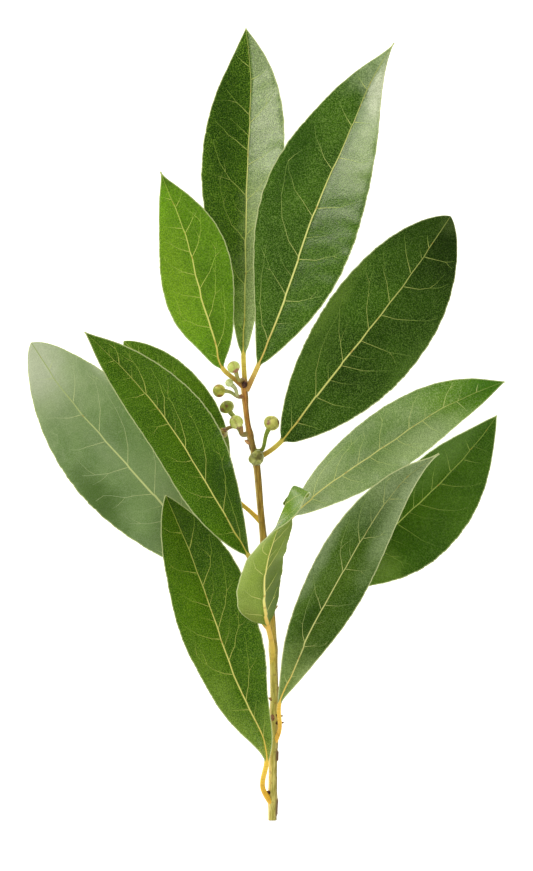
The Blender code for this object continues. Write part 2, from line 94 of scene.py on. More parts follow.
LEAVES = (
    Leaf("leaf_top_middle",
         ((-5.7, 9.8, 16.4), (-6.0, 14.0, 15.8), (-6.2, 18.5, 15.4), (-5.8, 31.4, 14.6), (-5.5, 55.0, 11.6),
          (-4.6, 81.6, 6.2), (-4.5, 100.6, 1.9), (-5.6, 109.9, 0.4)),
         3, 12.6, 0.57, 2.4, (8.0, 14.0, 12.0, 4.0), (30.0, 28.0, 22.0, 12.0),
         skew=(0.10, 0.0, -0.03, -0.05), wave=(0.4,), waves=2.5, shift=0.1, foot=1.1),
    Leaf("leaf_top_right",
         ((-5.4, 9.3, 17.2), (-4.0, 12.0, 18.2), (-2.4, 15.5, 19.0), (5.8, 36.2, 21.6), (14.5, 61.0, 22.6),
          (22.9, 79.8, 21.4), (28.7, 93.4, 19.4), (35.3, 104.9, 17.0)),
         3, 15.5, 0.47, 2.6, (8.0, 11.0, 14.0, 20.0, 12.0), (20.0, 20.0, 20.0, 18.0, 8.0),
         skew=(0.14, 0.10, 0.0, -0.10, -0.24), wave=(0.4,), waves=2.2, shift=0.4, foot=0.6),
    Leaf("leaf_top_left",
         ((-5.8, 9.9, 17.1), (-8.9, 12.5, 17.5), (-11.7, 15.0, 17.8), (-13.8, 21.6, 18.3),
          (-16.8, 31.4, 18.8), (-21.8, 50.6, 18.6), (-26.9, 64.0, 17.4), (-29.1, 69.5, 16.8)),
         3, 10.6, 0.46, 2.2, (0.0, -2.0, 3.0), (20.0, 20.0, 14.0),
         skew=(-0.10, -0.06, 0.07, 0.08), wave=(0.3,), waves=2.0, shift=0.3),
    Leaf("leaf_right_upper",
         ((-2.9, -9.6, 15.4), (0.4, -7.9, 16.2), (4.0, -5.0, 16.4), (7.8, -0.3, 16.3), (15.7, 10.0, 15.6),
          (31.6, 30.1, 13.6), (43.7, 46.4, 11.6), (51.0, 57.4, 10.4)),
         3, 15.7, 0.52, 1.55, (-4.0, -7.0, -5.0), (22.0, 20.0, 14.0),
         skew=(0.14, 0.08, 0.04, 0.0, -0.06), wave=(0.4,), waves=3.0, shift=0.2),
    Leaf("leaf_right_middle",
         ((-0.7, -33.6, 11.6), (3.2, -29.4, 12.0), (7.2, -25.4, 11.8), (20.1, -14.9, 10.8),
          (34.4, -5.2, 9.9), (48.1, 3.9, 9.6), (66.0, 11.7, 9.8)),
         3, 9.5, 0.48, 1.7, (8.0, 8.0, 8.0), (30.0, 26.0, 20.0),
         skew=(0.12, -0.01, 0.0), wave=(0.35,), waves=2.6, shift=0.0),
    Leaf("leaf_right_back",
         ((2.1, -77.0, 4.5), (10.5, -61.0, 5.0), (19.2, -46.1, 4.4), (36.0, -27.9, 3.0), (49.0, -15.6, 1.3),
          (59.2, -4.2, 0.5), (64.1, 2.4, 0.9)),
         3, 13.4, 0.46, 2.1, (-8.0, -8.0, -4.0), (32.0, 30.0, 12.0),
         skew=(0.30, 0.25, 0.17, 0.10, 0.05), wave=(0.4,), waves=2.4, shift=0.6),
    Leaf("leaf_right_lower",
         ((2.1, -88.8, 3.2), (3.8, -84.4, 5.4), (3.6, -78.4, 7.4), (5.6, -72.6, 8.6), (10.7, -60.7, 10.8),
          (19.9, -43.2, 13.0), (30.1, -25.9, 15.2), (41.3, -12.6, 16.6), (47.7, -8.2, 17.0)),
         3, 9.1, 0.49, 2.35, (2.0, 0.0, -3.0), (26.0, 26.0, 20.0),
         skew=(-0.10, 0.02, -0.08, 0.0), wave=(0.4,), waves=2.8, shift=0.5),
    Leaf("leaf_left_lower",
         ((1.6, -105.2, 1.9), (-0.9, -100.8, 3.6), (0.1, -94.3, 5.6), (-5.1, -77.9, 8.2),
          (-13.7, -55.9, 9.8), (-21.6, -34.2, 9.4), (-27.8, -19.7, 8.4)),
         3, 11.8, 0.54, 1.95, (-8.0, -6.0, -4.0), (24.0, 22.0, 14.0),
         skew=(-0.30, -0.19, -0.02, -0.03, 0.03, 0.0, -0.08), wave=(0.4,), waves=2.6, shift=0.1),
    Leaf("leaf_front_curled",
         ((1.9, -66.6, 6.1), (1.6, -61.0, 8.7), (0.4, -55.5, 13.0), (-0.8, -47.5, 22.0),
          (-0.5, -40.5, 26.2), (1.1, -33.5, 28.8), (3.6, -26.5, 30.6), (5.9, -20.8, 31.6),
          (7.6, -17.2, 31.2), (9.2, -18.2, 28.0), (9.2, -20.8, 24.5)),
         3, 9.9, 0.47, 1.25, (164.0, 149.0, 136.0, 122.0, 89.0, 74.0),
         (22.0, 17.0, 5.0, -6.0, -30.0, -46.0), skew=(-0.06, -0.06, -0.03, -0.04, -0.16, 0.10),
         wave=(0.15,), waves=2.4, shift=0.35),
    Leaf("leaf_left_front",
         ((0.7, -46.4, 10.0), (-2.2, -41.2, 12.2), (-4.7, -36.6, 13.6), (-16.1, -17.0, 17.2),
          (-27.9, 1.5, 19.2), (-40.0, 15.8, 20.4), (-49.9, 25.3, 20.6)),
         3, 10.6, 0.49, 1.95, (-2.0, -8.0, -8.0), (24.0, 28.0, 22.0),
         skew=(-0.28, -0.04, 0.12, 0.06, 0.0), wave=(0.4,), waves=2.3, shift=0.2),
    Leaf("leaf_left_behind",
         ((-1.1, -27.4, 12.6), (-5.0, -23.6, 12.2), (-8.5, -20.6, 11.8), (-14.4, -6.0, 10.2),
          (-25.6, 9.6, 8.4), (-39.4, 22.9, 6.6)),
         3, 8.2, 0.53, 1.65, (4.0, 4.0, 4.0), (8.0, 8.0, 4.0), skew=(-0.50, -0.35, -0.18, -0.04, 0.0),
         wave=(0.3,)),
    Leaf("leaf_left_outer",
         ((1.2, -57.0, 7.7), (-6.4, -48.4, 7.2), (-13.6, -40.0, 6.4), (-30.9, -20.0, 3.4),
          (-46.4, -2.7, 1.3), (-58.6, 12.3, 0.5), (-65.2, 22.6, 0.9)),
         3, 15.2, 0.48, 1.45, (-12.0, -10.0, -4.0), (5.0, 4.0, 1.0),
         skew=(0.0, -0.01, 0.02, 0.2), wave=(0.35,), waves=2.2, shift=0.7),
)

Bud = namedtuple("Bud", "path radius stalk")
UPPER_LEFT_ROOT = (-7.6, 7.5, 17.5)
LEFT_ROOT = (-6.4, -3.0, 16.4)
BUD_SPRAYS = {
    "bud_top": (Bud(((-7.4, 12.0, 18.9), (-8.0, 13.4, 19.8), (-8.9, 15.6, 20.6)), 1.7, 0.52),),
    "buds_upper_left": (
        Bud((UPPER_LEFT_ROOT, (-9.4, 8.5, 17.6), (-12.9, 9.2, 17.4)), 1.8, 0.48),
        Bud((UPPER_LEFT_ROOT, (-8.3, 9.3, 18.8), (-10.1, 11.3, 19.8)), 1.1, 0.50),
    ),
    "buds_left": (
        Bud((LEFT_ROOT, (-6.9, -1.2, 16.8), (-8.2, 0.5, 17.6)), 1.95, 0.55),
        Bud((LEFT_ROOT, (-7.6, 0.6, 15.4), (-9.4, 2.6, 15.3), (-10.7, 4.7, 15.8)), 1.8, 0.55),
        Bud((LEFT_ROOT, (-8.0, -1.0, 14.8), (-9.8, -0.9, 14.7), (-11.9, -2.4, 15.2)), 1.4, 0.45),
    ),
    "bud_right": (Bud(((-1.2, -7.2, 17.4), (-0.2, -4.0, 18.3), (1.6, 0.2, 18.8)), 2.1, 0.55),),
    "bud_node": (Bud(((-2.8, -9.5, 17.05), (-2.7, -9.4, 18.0), (-2.6, -9.4, 19.3)), 2.1, 0.85),),
}

# ---------------- fineness
BLADE_ROWS = 150
STALK_ROWS = 26
BLADE_COLUMNS = 45
VEIN_STEPS = 5              # rows of a side vein between two of its kinks
STEM_SIDES = 28
STEM_ROWS = 520
BUD_SIDES = 36
BUD_ROWS = 40
BUD_STALK_SIDES = 16
BUD_STALK_ROWS = 18

# ---------------- what each leaf looks like
# Colours are sRGB bytes. dark and light are the upper face's two greens, under is the lower face, vein and
# rib the lines of both. seed starts the leaf's own random draws. lean is the angle from the midrib at which
# the left and the right side veins leave it.
# stalk is the stalk's colour at its foot and where it meets the blade, slim how much of the full thickness
# it has, and drip how much the last of the tip is drawn in (below 0 it is blunter). The two sheen entries
# say how much pale painted sheen lies at the base, the middle and the tip, and how much more of it the right
# half has. The shade entry is how much painted shade darkens the left half, the right half and the tip.
# The patches lie on the upper face, or on the lower one with patched_under. grain is how strong the fine
# net and the pits of the faces are.
Look = namedtuple("Look", "dark light vein rib seed lean under stalk slim drip bloom bloom_right deep "
                  "patches patched_under grain",
                  defaults=((150, 180, 72), ((225, 180, 80), (232, 190, 86)), 1.0, 0.0, (0.0, 0.0, 0.0), 0.0,
                            (0.0, 0.0, 0.0), (), False, 1.0))
# A patch is a middle, as a share of the length and of the width, its reach along and across as the same
# shares, its colour and how strong it is. Pale grey-green patches are painted sheen, the darkest painted
# shade, and the rest lighter or darker greens of the leaf.
LOOKS = {
    "leaf_top_middle": Look(
        (46, 84, 0), (66, 110, 2), (142, 182, 48), (226, 226, 132), 11, (46, 62),
        stalk=((204, 180, 72), (224, 204, 86)), slim=0.94, bloom_right=0.32, grain=1.8, patches=(
            (0.06, -0.3, 0.24, 0.5, (128, 160, 54), 0.7),
            (0.22, 0.5, 0.38, 0.9, (206, 222, 150), 0.74),
            (0.26, -0.5, 0.24, 0.4, (110, 150, 30), 0.35),
            (0.72, -0.5, 0.36, 0.7, (32, 68, 0), 0.6),
            (0.94, 0.6, 0.12, 0.6, (200, 214, 168), 0.35),
            (0.97, -0.5, 0.07, 0.4, (170, 190, 140), 0.7),
        )),
    "leaf_top_right": Look(
        (52, 92, 0), (68, 110, 6), (146, 182, 84), (226, 228, 136), 12, (52, 72),
        stalk=((184, 142, 70), (216, 188, 92)), slim=0.94, drip=0.1, deep=(0.0, 0.1, 0.0), grain=1.1,
        patches=(
            (0.7, 0.6, 0.24, 0.7, (154, 178, 112), 0.55),
            (0.93, 0.35, 0.22, 0.5, (226, 232, 204), 0.85),
            (0.96, -0.3, 0.15, 0.6, (176, 196, 144), 0.85),
            (0.6, -0.7, 0.24, 0.4, (44, 84, 4), 0.5),
        )),
    "leaf_top_left": Look(
        (96, 148, 2), (118, 172, 10), (154, 196, 60), (226, 228, 118), 13, (66, 44),
        stalk=((172, 130, 56), (222, 196, 84)), slim=0.9, drip=0.3, deep=(0.0, 0.31, 0.0), grain=1.2,
        patches=(
            (0.5, -0.6, 0.45, 0.85, (148, 190, 36), 0.6),
            (0.96, 0.2, 0.08, 0.5, (66, 100, 6), 0.5),
        )),
    "leaf_right_upper": Look(
        (44, 80, 0), (64, 106, 2), (128, 166, 64), (220, 222, 124), 14, (48, 72),
        stalk=((190, 156, 58), (214, 196, 80)), slim=0.95, deep=(0.0, 0.22, 0.56), grain=1.5, patches=(
            (0.48, -1.0, 0.34, 0.36, (124, 156, 56), 0.6),
            (0.3, -0.6, 0.24, 0.5, (96, 130, 38), 0.35),
            (0.44, 1.0, 0.36, 0.3, (100, 136, 46), 0.5),
            (0.97, 0.1, 0.05, 0.3, (96, 120, 52), 0.5),
        )),
    "leaf_right_middle": Look(
        (86, 136, 10), (112, 158, 28), (194, 218, 138), (232, 234, 144), 15, (50, 66),
        stalk=((226, 196, 90), (228, 214, 110)), drip=0.25, bloom=(0.46, 0.3, -0.1), patches=(
            (0.1, -0.5, 0.22, 0.7, (206, 222, 160), 0.4),
            (0.22, 0.5, 0.3, 0.5, (120, 148, 72), 0.25),
            (0.6, 0.6, 0.28, 0.7, (188, 208, 148), 0.62),
            (0.45, -0.5, 0.24, 0.4, (110, 150, 44), 0.3),
            (0.96, -0.1, 0.2, 1.0, (70, 126, 0), 0.85),
        )),
    "leaf_right_back": Look(
        (54, 94, 2), (74, 114, 12), (124, 160, 62), (186, 204, 98), 16, (60, 66), drip=-0.2, grain=0.7,
        patches=(
            (0.78, -0.5, 0.34, 0.6, (112, 146, 64), 0.55),
            (0.2, 0.3, 0.12, 0.6, (140, 170, 74), 0.5),
            (0.22, 0.95, 0.06, 0.28, (190, 205, 110), 0.5),
        )),
    "leaf_right_lower": Look(
        (60, 96, 8), (82, 116, 22), (140, 170, 92), (220, 222, 138), 17, (42, 60),
        stalk=((222, 174, 52), (238, 198, 76)), slim=0.84, drip=0.3, bloom=(0.0, 0.0, 0.26), grain=0.95,
        patches=(
            (0.08, 0.0, 0.2, 1.3, (158, 180, 100), 0.5),
            (0.52, -0.95, 0.3, 0.42, (172, 190, 144), 0.42),
            (0.94, 0.6, 0.2, 0.7, (190, 204, 164), 0.5),
            (0.7, 0.75, 0.28, 0.58, (172, 190, 144), 0.42),
            (0.1, 0.6, 0.14, 0.6, (186, 202, 138), 0.42),
            (0.31, -0.25, 0.1, 0.45, (40, 74, 0), 0.6),
        )),
    "leaf_left_lower": Look(
        (64, 112, 0), (90, 134, 4), (134, 170, 44), (232, 226, 120), 18, (62, 38),
        stalk=((224, 176, 48), (238, 200, 72)), deep=(0.0, 0.2, 0.4), grain=1.9, patches=(
            (0.03, 0.0, 0.08, 0.6, (206, 210, 90), 0.45),
            (0.22, -0.6, 0.24, 0.7, (140, 172, 60), 0.64),
            (0.42, -0.8, 0.16, 0.4, (124, 158, 44), 0.5),
            (0.11, 0.5, 0.12, 0.6, (146, 176, 64), 0.65),
            (0.12, -0.5, 0.14, 0.7, (146, 174, 66), 0.45),
            (0.56, 0.95, 0.1, 0.24, (176, 190, 96), 0.5),
        )),
    "leaf_front_curled": Look(
        (82, 124, 14), (108, 148, 34), (184, 202, 108), (232, 224, 130), 19, (60, 60),
        under=(144, 172, 44), stalk=((222, 192, 88), (222, 184, 82)), drip=0.75, deep=(0.3, 0.0, 0.0),
        patched_under=True, grain=0.8, patches=(
            (0.14, -0.45, 0.38, 0.8, (80, 110, 0), 0.76),
            (0.06, 0.5, 0.18, 0.7, (112, 124, 40), 0.6),
            (0.52, 0.9, 0.3, 0.4, (196, 212, 124), 0.3),
        )),
    "leaf_left_front": Look(
        (64, 108, 0), (84, 130, 2), (130, 168, 44), (232, 228, 122), 20, (66, 36),
        stalk=((212, 172, 56), (230, 208, 92)), drip=0.2, deep=(0.0, 0.24, 0.0), grain=1.8, patches=(
            (0.3, 0.5, 0.14, 0.6, (40, 78, 0), 0.5),
            (0.06, 0.2, 0.08, 0.4, (120, 152, 40), 0.5),
        )),
    "leaf_left_behind": Look(
        (78, 120, 10), (98, 140, 24), (132, 166, 54), (214, 218, 114), 21, (56, 50),
        stalk=((240, 196, 60), (236, 200, 80)), slim=0.84, grain=1.9, patches=(
            (0.27, 0.5, 0.14, 0.7, (170, 190, 104), 0.5),
        )),
    "leaf_left_outer": Look(
        (88, 124, 54), (110, 144, 74), (184, 202, 158), (210, 218, 150), 22, (62, 46), drip=-0.1,
        bloom=(0.12, 0.14, 0.36), grain=0.3, patches=(
            (0.44, -0.85, 0.2, 0.5, (66, 98, 24), 0.7),
            (0.2, 0.2, 0.14, 0.3, (196, 208, 150), 0.6),
            (0.95, -0.2, 0.22, 0.8, (224, 228, 206), 0.54),
            (0.12, -0.6, 0.14, 0.5, (156, 176, 126), 0.4),
            (0.84, 0.9, 0.18, 0.36, (216, 224, 194), 0.8),
            (0.55, -0.1, 0.16, 0.3, (170, 186, 146), 0.25),
            (0.33, 0.3, 0.18, 0.7, (156, 176, 126), 0.4),
        )),
}
# A kind of side vein: half its width, how far across the blade it ends, and the chance of an arm at a kink
Vein = namedtuple("Vein", "width reach arms")
MAIN_VEIN = Vein(0.085, (0.6, 0.9), 0.26)
WEAK_VEIN = Vein(0.040, (0.25, 0.45), 0.0)

# What a bud looks like: its bracts' pale and dark green, the brown of its marks, how far its seams are sunk
# and how lobed it is, both as a share of its radius, its turn, and its stalk's colours at the root and at
# the globe. marks are directions, each with the cosine of its reach.
BudLook = namedtuple("BudLook", "pale dark mark seam lobes turn stalk marks")
BUD_LOOKS = {
    "bud_top": (
        BudLook((226, 230, 144), (190, 204, 98), (150, 92, 76), 0.07, 0.05, 0.4,
                ((150, 122, 66), (166, 160, 80)), (((0.55, -0.8, 0.4), 0.62),)),),
    "buds_upper_left": (
        BudLook((204, 200, 88), (138, 150, 50), (142, 92, 46), 0.14, 0.10, 1.2,
                ((150, 100, 66), (168, 172, 96)), (((-0.3, 0.9, 0.3), 0.80), ((0.1, -0.9, 0.3), 0.84))),
        BudLook((208, 220, 156), (180, 196, 120), (150, 130, 80), 0.05, 0.05, 0.2,
                ((160, 130, 76), (184, 190, 132)), ())),
    "buds_left": (
        BudLook((226, 228, 140), (170, 182, 72), (130, 84, 56), 0.10, 0.08, 2.2,
                ((176, 128, 74), (168, 132, 74)), (((0.35, -0.9, 0.3), 0.86), ((-0.95, -0.3, 0.2), 0.90))),
        BudLook((186, 190, 80), (126, 138, 42), (112, 88, 44), 0.22, 0.20, 0.7,
                ((160, 140, 80), (158, 172, 84)), (((-0.1, 0.1, 1.0), 0.95), ((-0.8, -0.5, 0.4), 0.88))),
        BudLook((196, 176, 90), (152, 136, 54), (112, 52, 40), 0.18, 0.20, 1.0,
                ((160, 122, 70), (160, 136, 74)), (((0.5, 0.6, 0.7), 0.82), ((-0.1, -0.6, 0.8), 0.86)))),
    "bud_right": (
        BudLook((204, 202, 104), (158, 162, 62), (124, 76, 64), 0.16, 0.10, 0.9,
                ((124, 132, 44), (124, 146, 40)), (((-0.5, 0.1, 0.85), 0.90), ((0.95, 0.2, 0.3), 0.90))),),
    "bud_node": (
        BudLook((186, 188, 108), (116, 120, 42), (98, 92, 40), 0.16, 0.11, 1.57,
                ((120, 104, 50), (112, 116, 48)), (((0.45, 0.2, 0.85), 0.86), ((0.0, -1.0, 0.2), 0.90))),),
}


# ---------------- curves
def spline_through(knots, values, at):
    """The natural cubic spline through values at knots, read at the places in at."""
    knots, values, at = (np.asarray(item, dtype=float) for item in (knots, values, at))
    if len(knots) == 1:
        return np.repeat(values, len(at), axis=0)
    step = np.diff(knots)
    slope = (np.diff(values, axis=0).T / step).T
    count = len(knots)
    system = np.eye(count)
    right = np.zeros_like(values)
    for i in range(1, count - 1):
        system[i, i - 1:i + 2] = step[i - 1], 2.0 * (step[i - 1] + step[i]), step[i]
        right[i] = 6.0 * (slope[i] - slope[i - 1])
    bend = np.linalg.solve(system, right)
    spot = np.clip(np.searchsorted(knots, at, side="right") - 1, 0, count - 2)
    width = step[spot]
    after = (at - knots[spot]) / width
    before = 1.0 - after
    shape = (-1,) + (1,) * (values.ndim - 1)
    after, before, width = (item.reshape(shape) for item in (after, before, width))
    return (before * values[spot] + after * values[spot + 1]
            + ((before ** 3 - before) * bend[spot] + (after ** 3 - after) * bend[spot + 1])
            * width ** 2 / 6.0)


def chord_lengths(points):
    points = np.asarray(points, dtype=float)
    return np.concatenate(([0.0], np.cumsum(np.linalg.norm(np.diff(points, axis=0), axis=1))))


def spread(values, at):
    return spline_through(np.linspace(0.0, 1.0, len(values)), values, at)


def unit(vectors):
    return vectors / np.linalg.norm(vectors, axis=-1, keepdims=True)


def carried_sides(ahead, first):
    """Unit vectors across each direction, carried untwisted from the first."""
    sides = [unit(first - np.dot(first, ahead[0]) * ahead[0])]
    for direction in ahead[1:]:
        sides.append(unit(sides[-1] - np.dot(sides[-1], direction) * direction))
    return np.array(sides)


def smooth(x):
    """0 below x = 0 and 1 above x = 1, with a soft step between."""
    x = np.clip(x, 0.0, 1.0)
    return x * x * (3.0 - 2.0 * x)


def hill(x, width):
    """1 at x = 0, falling away to both sides over width."""
    return np.exp(-(x / width) ** 2)


def crowded(x, share):
    """Places from 0 to 1, of which a share is drawn towards both ends."""
    return (1.0 - share) * x + share * (0.5 - 0.5 * np.cos(math.pi * x))


def turns_of(sides):
    return np.linspace(0.0, 2.0 * math.pi, sides, endpoint=False)


# ---------------- one leaf's surface
TIP_REACH = 0.06            # share of the blade over which a look's drip draws the tip in
LEAST_HALF = 0.16           # half the width of a leaf where it is narrowest
SOFT_REST = 0.4             # how close to its least height a blade begins to be held up
STEP_ALONG, STEP_ACROSS = 0.3, 0.04     # between the points that a normal is read from
# The margin's teeth: their size and the band in which they grow, both as shares of the half width
TOOTH_SIZE, MARGIN_BAND = 0.0038, 0.2
# Waves over a leaf: size (for the teeth, a share of theirs), pitch along it, slant across it, and which of
# the leaf's phases they take
TEETH = ((1.0, 3.9, 0.0, 0), (0.8, 6.1, 0.0, 1), (1.3, 1.3, 0.0, 2))
RIPPLE = ((0.12, 0.72, 0.0, 4), (0.08, 1.37, 0.0, 5))
SWELL = ((0.11, 0.46, 3.2, 8), (0.05, 0.93, -4.5, 9))
TEETH_LEFT, RIPPLE_LEFT = 2.3, 1.9      # what the phases are multiplied by on the left half


class Surface:
    """A leaf's middle surface: a place along it (millimetres from the stalk's root) and across it."""
    FINE, STEM_FINE = 640, 224          # points at which the leaf's and the stem's lines are worked out
    PHASES = 12

    def __init__(self, leaf, look):
        self.leaf = leaf
        along = chord_lengths(leaf.path)
        self.base, self.end = along[leaf.stalk - 1], along[-1]
        self.length = self.end - self.base
        self.at = np.linspace(0.0, self.end, self.FINE)
        self.line = spline_through(along, leaf.path, self.at)
        t = np.clip((self.at - self.base) / self.length, 0.0, 1.0)
        self._turn(np.radians(spread(leaf.roll, t))[:, None])
        self.fold = np.radians(spread(leaf.fold, t))
        self.curl = np.radians(spread(leaf.curl, t))
        self.skew = spread(leaf.skew, t)
        self.wave = spread(leaf.wave, t)
        self.half = self._half_width(t, look.drip)
        self.kinks = [0.0, self.length], [0.0, 0.0]
        rng = random.Random(look.seed * 7 + 1)
        self.phases = [rng.uniform(0.0, 2.0 * math.pi) for _ in range(self.PHASES)]

    def _turn(self, roll):
        """The directions across the leaf and out of its upper face, from level where it leaves the stem."""
        ahead = unit(np.gradient(self.line, axis=0))
        foot = self._foot()
        level = unit(np.cross(ahead[foot], (0.0, 0.0, 1.0)))
        on = carried_sides(ahead[foot:], level)
        back = carried_sides(ahead[:foot + 1][::-1], level)[::-1]
        side = np.concatenate((back[:-1], on))
        up = np.cross(side, ahead)
        self.side = np.cos(roll) * side + np.sin(roll) * up
        self.up = np.cos(roll) * up - np.sin(roll) * side

    def _foot(self):
        """Where the leaf's path has left the stem."""
        axis, radius = stem_line(self.STEM_FINE)
        for k, point in enumerate(self.line):
            if (np.linalg.norm(axis - point, axis=1) - radius).min() > STALK_RADIUS + GAP:
                return k
        return 0

    def _half_width(self, t, drip):
        leaf = self.leaf
        rise, fall = leaf.peak * leaf.full, (1.0 - leaf.peak) * leaf.full
        top = leaf.peak ** rise * (1.0 - leaf.peak) ** fall
        blade = leaf.width * t ** rise * (1.0 - t) ** fall / top
        foot = leaf.foot * t / FOOT_PLACE * np.exp(1.0 - t / FOOT_PLACE)
        return np.maximum((blade + foot) * (1.0 - drip * hill(1.0 - t, TIP_REACH)), LEAST_HALF)

    def read(self, values, place):
        if values.ndim == 1:
            return np.interp(place, self.at, values)
        return np.stack([np.interp(place, self.at, values[:, i]) for i in range(3)], axis=-1)

    def half_at(self, place):
        return self.read(self.half, place)

    def place_of(self, t):
        return self.base + np.asarray(t) * self.length

    def points(self, place, s):
        """Points at places along and shares s of the half width, with the stalk's blend left out."""
        place, s = np.broadcast_arrays(np.asarray(place, float), np.asarray(s, float))
        t = np.clip((place - self.base) / self.length, 0.0, 1.0)
        size = np.abs(s)
        half = self.half_at(place)
        skew = self.read(self.skew, place)
        teeth = TOOTH_SIZE * self._waves(TEETH, place, s, TEETH_LEFT)
        reach = half * (1.0 + np.where(s > 0.0, skew, -skew))
        reach = reach * (1.0 + teeth * smooth((size - (1.0 - MARGIN_BAND)) / MARGIN_BAND))
        lean = self.read(self.fold, place) + self.read(self.curl, place) * size
        swing = np.sin(2.0 * math.pi * (self.leaf.waves * t + self.leaf.shift))
        lift = self.read(self.wave, place) * s * s * swing
        lift = lift + self._waves(RIPPLE, place, s, RIPPLE_LEFT) * size ** 3
        lift = lift + self._waves(SWELL, place, s) * size
        across = reach * s * np.cos(lean)
        up = reach * size * np.sin(lean) + lift * half / self.leaf.width
        found = (self.read(self.line, place) + across[..., None] * self.read(self.side, place)
                 + up[..., None] * self.read(self.up, place))
        found[..., 2] = rested(found[..., 2])
        return found

    def _waves(self, waves, place, s, left=1.0):
        """Waves over the leaf, whose phases are multiplied by left on its left half."""
        turn = np.where(s > 0.0, 1.0, left)
        return sum(size * np.sin(place * pitch + slant * s + self.phases[phase] * turn)
                   for size, pitch, slant, phase in waves)

    def wander(self, y):
        """How far the midrib lies to the right of the blade's middle, in millimetres."""
        return np.interp(y, *self.kinks)

    def normals(self, place, s):
        """Unit normals of the middle surface, on the leaf's upper face."""
        place, s = np.broadcast_arrays(np.asarray(place, float), np.asarray(s, float))
        forward = (self.points(np.minimum(place + STEP_ALONG, self.end), s)
                   - self.points(place - STEP_ALONG, s))
        right = (self.points(place, np.minimum(s + STEP_ACROSS, 1.0))
                 - self.points(place, np.maximum(s - STEP_ACROSS, -1.0)))
        return unit(np.cross(right, forward))


def rested(height):
    """Heights held up softly so that none is below REST_HEIGHT."""
    low = REST_HEIGHT - height
    soft = np.clip(low + SOFT_REST, 0.0, None) ** 2 / (4.0 * SOFT_REST)
    return np.where(low >= SOFT_REST, REST_HEIGHT, height + soft)


# ---------------- side veins
# A pair is the range of a random draw. Places and gaps are shares of the blade's length, runs of its width.
FIRST_VEIN, VEIN_GAP, LAST_VEIN = (0.05, 0.11), (0.105, 0.16), 0.9
WEAK_CHANCE, WEAK_PLACE = 0.35, (0.4, 0.6)      # of a weak vein in the gap between two strong ones
MIDRIB_KINK = (0.05, 0.2)
LEAN_SPREAD = (0.86, 1.16)
BEND, BEND_CHANGE = (5.0, 12.0), (0.7, 1.4)
RUN, FIRST_RUN, NEXT_RUN = (0.17, 0.30), 1.4, 0.85
MOST_POINTS = 9
VEIN_END, VEIN_EDGE = 0.97, 0.92                # where a vein stops at the latest, along and across
ARM_TURN, ARM_RUN, ARM_BEND = (24.0, 40.0), (0.12, 0.22), (-20.0, 20.0)
FAR = 9.0                                       # the distance from a vein where there is none


def side_veins(surface, look):
    """Chains of (along, s, half width) for the side veins of a blade: straight runs between kinks.

    The midrib gives way a little towards each strong vein, so its kinks are set here as well.
    """
    rng = random.Random(look.seed)
    length = surface.length
    starts = []
    for sign in (-1.0, 1.0):
        y = length * rng.uniform(*FIRST_VEIN)
        while y < LAST_VEIN * length:
            gap = length * rng.uniform(*VEIN_GAP)
            starts.append((y, sign, MAIN_VEIN))
            if rng.random() < WEAK_CHANCE:
                starts.append((y + gap * rng.uniform(*WEAK_PLACE), sign, WEAK_VEIN))
            y += gap
    strong = sorted((y, sign) for y, sign, kind in starts if kind is MAIN_VEIN)
    surface.kinks = ([0.0] + [y for y, _ in strong] + [length],
                     [0.0] + [sign * rng.uniform(*MIDRIB_KINK) for _, sign in strong] + [0.0])
    veins = []
    for y, sign, kind in starts:
        lean = look.lean[0] if sign < 0.0 else look.lean[1]
        veins += kinked_vein(surface, rng, sign, y, lean * rng.uniform(*LEAN_SPREAD), kind)
    return veins


def half_by(surface, y):
    """Half the width of the blade y millimetres from its base, or at its tip."""
    return float(surface.half_at(surface.base + min(y, surface.length)))


def moved(x, y, run, angle):
    """The place reached from x across and y along by a run at an angle from the midrib."""
    return x + run * math.sin(math.radians(angle)), y + run * math.cos(math.radians(angle))


def kinked_vein(surface, rng, sign, start, lean, kind):
    """A side vein that leaves the midrib at lean degrees, with the fine arms it sends out at its kinks."""
    x, y, angle = 0.0, start, lean
    root = float(surface.wander(start) / max(surface.half_at(surface.base + start), 1.0))
    chain = [(y, root, kind.width)]
    arms = []
    bend = rng.choice((-1.0, 1.0)) * rng.uniform(*BEND)
    end = rng.uniform(*kind.reach)
    while len(chain) < MOST_POINTS:
        run = rng.uniform(*RUN) * surface.leaf.width * (FIRST_RUN if len(chain) == 1 else NEXT_RUN)
        x, y = moved(x, y, run, angle)
        half = half_by(surface, y)
        if y > VEIN_END * surface.length or x > VEIN_EDGE * half:
            break
        share = x / half
        chain.append((y, sign * share, kind.width * (1.0 - 0.5 * min(share, 1.0))))
        if share > 0.3 and len(arms) < 2 and rng.random() < kind.arms:
            turn = rng.uniform(*ARM_TURN) * (1.0 if bend < 0.0 else -1.0)
            arms.append(arm(surface, rng, sign, x, y, angle + turn, kind.width))
        if share > end:
            break
        angle = max(8.0, angle + bend - 6.0)
        bend = -bend * rng.uniform(*BEND_CHANGE) - 1.5
    return [c for c in [chain] + arms if len(c) > 1]


def arm(surface, rng, sign, x, y, angle, width):
    """A fine vein of one to three short runs."""
    chain = [(y, sign * x / float(surface.half_at(surface.base + y)), 0.55 * width)]
    for step in range(rng.randint(1, 3)):
        x, y = moved(x, y, rng.uniform(*ARM_RUN) * surface.leaf.width, angle)
        half = half_by(surface, y)
        if not 0.4 < x < VEIN_EDGE * half or y > VEIN_END * surface.length:
            break
        chain.append((y, sign * x / half, width * (0.45 - 0.08 * step)))
        angle += rng.uniform(*ARM_BEND)
    return chain


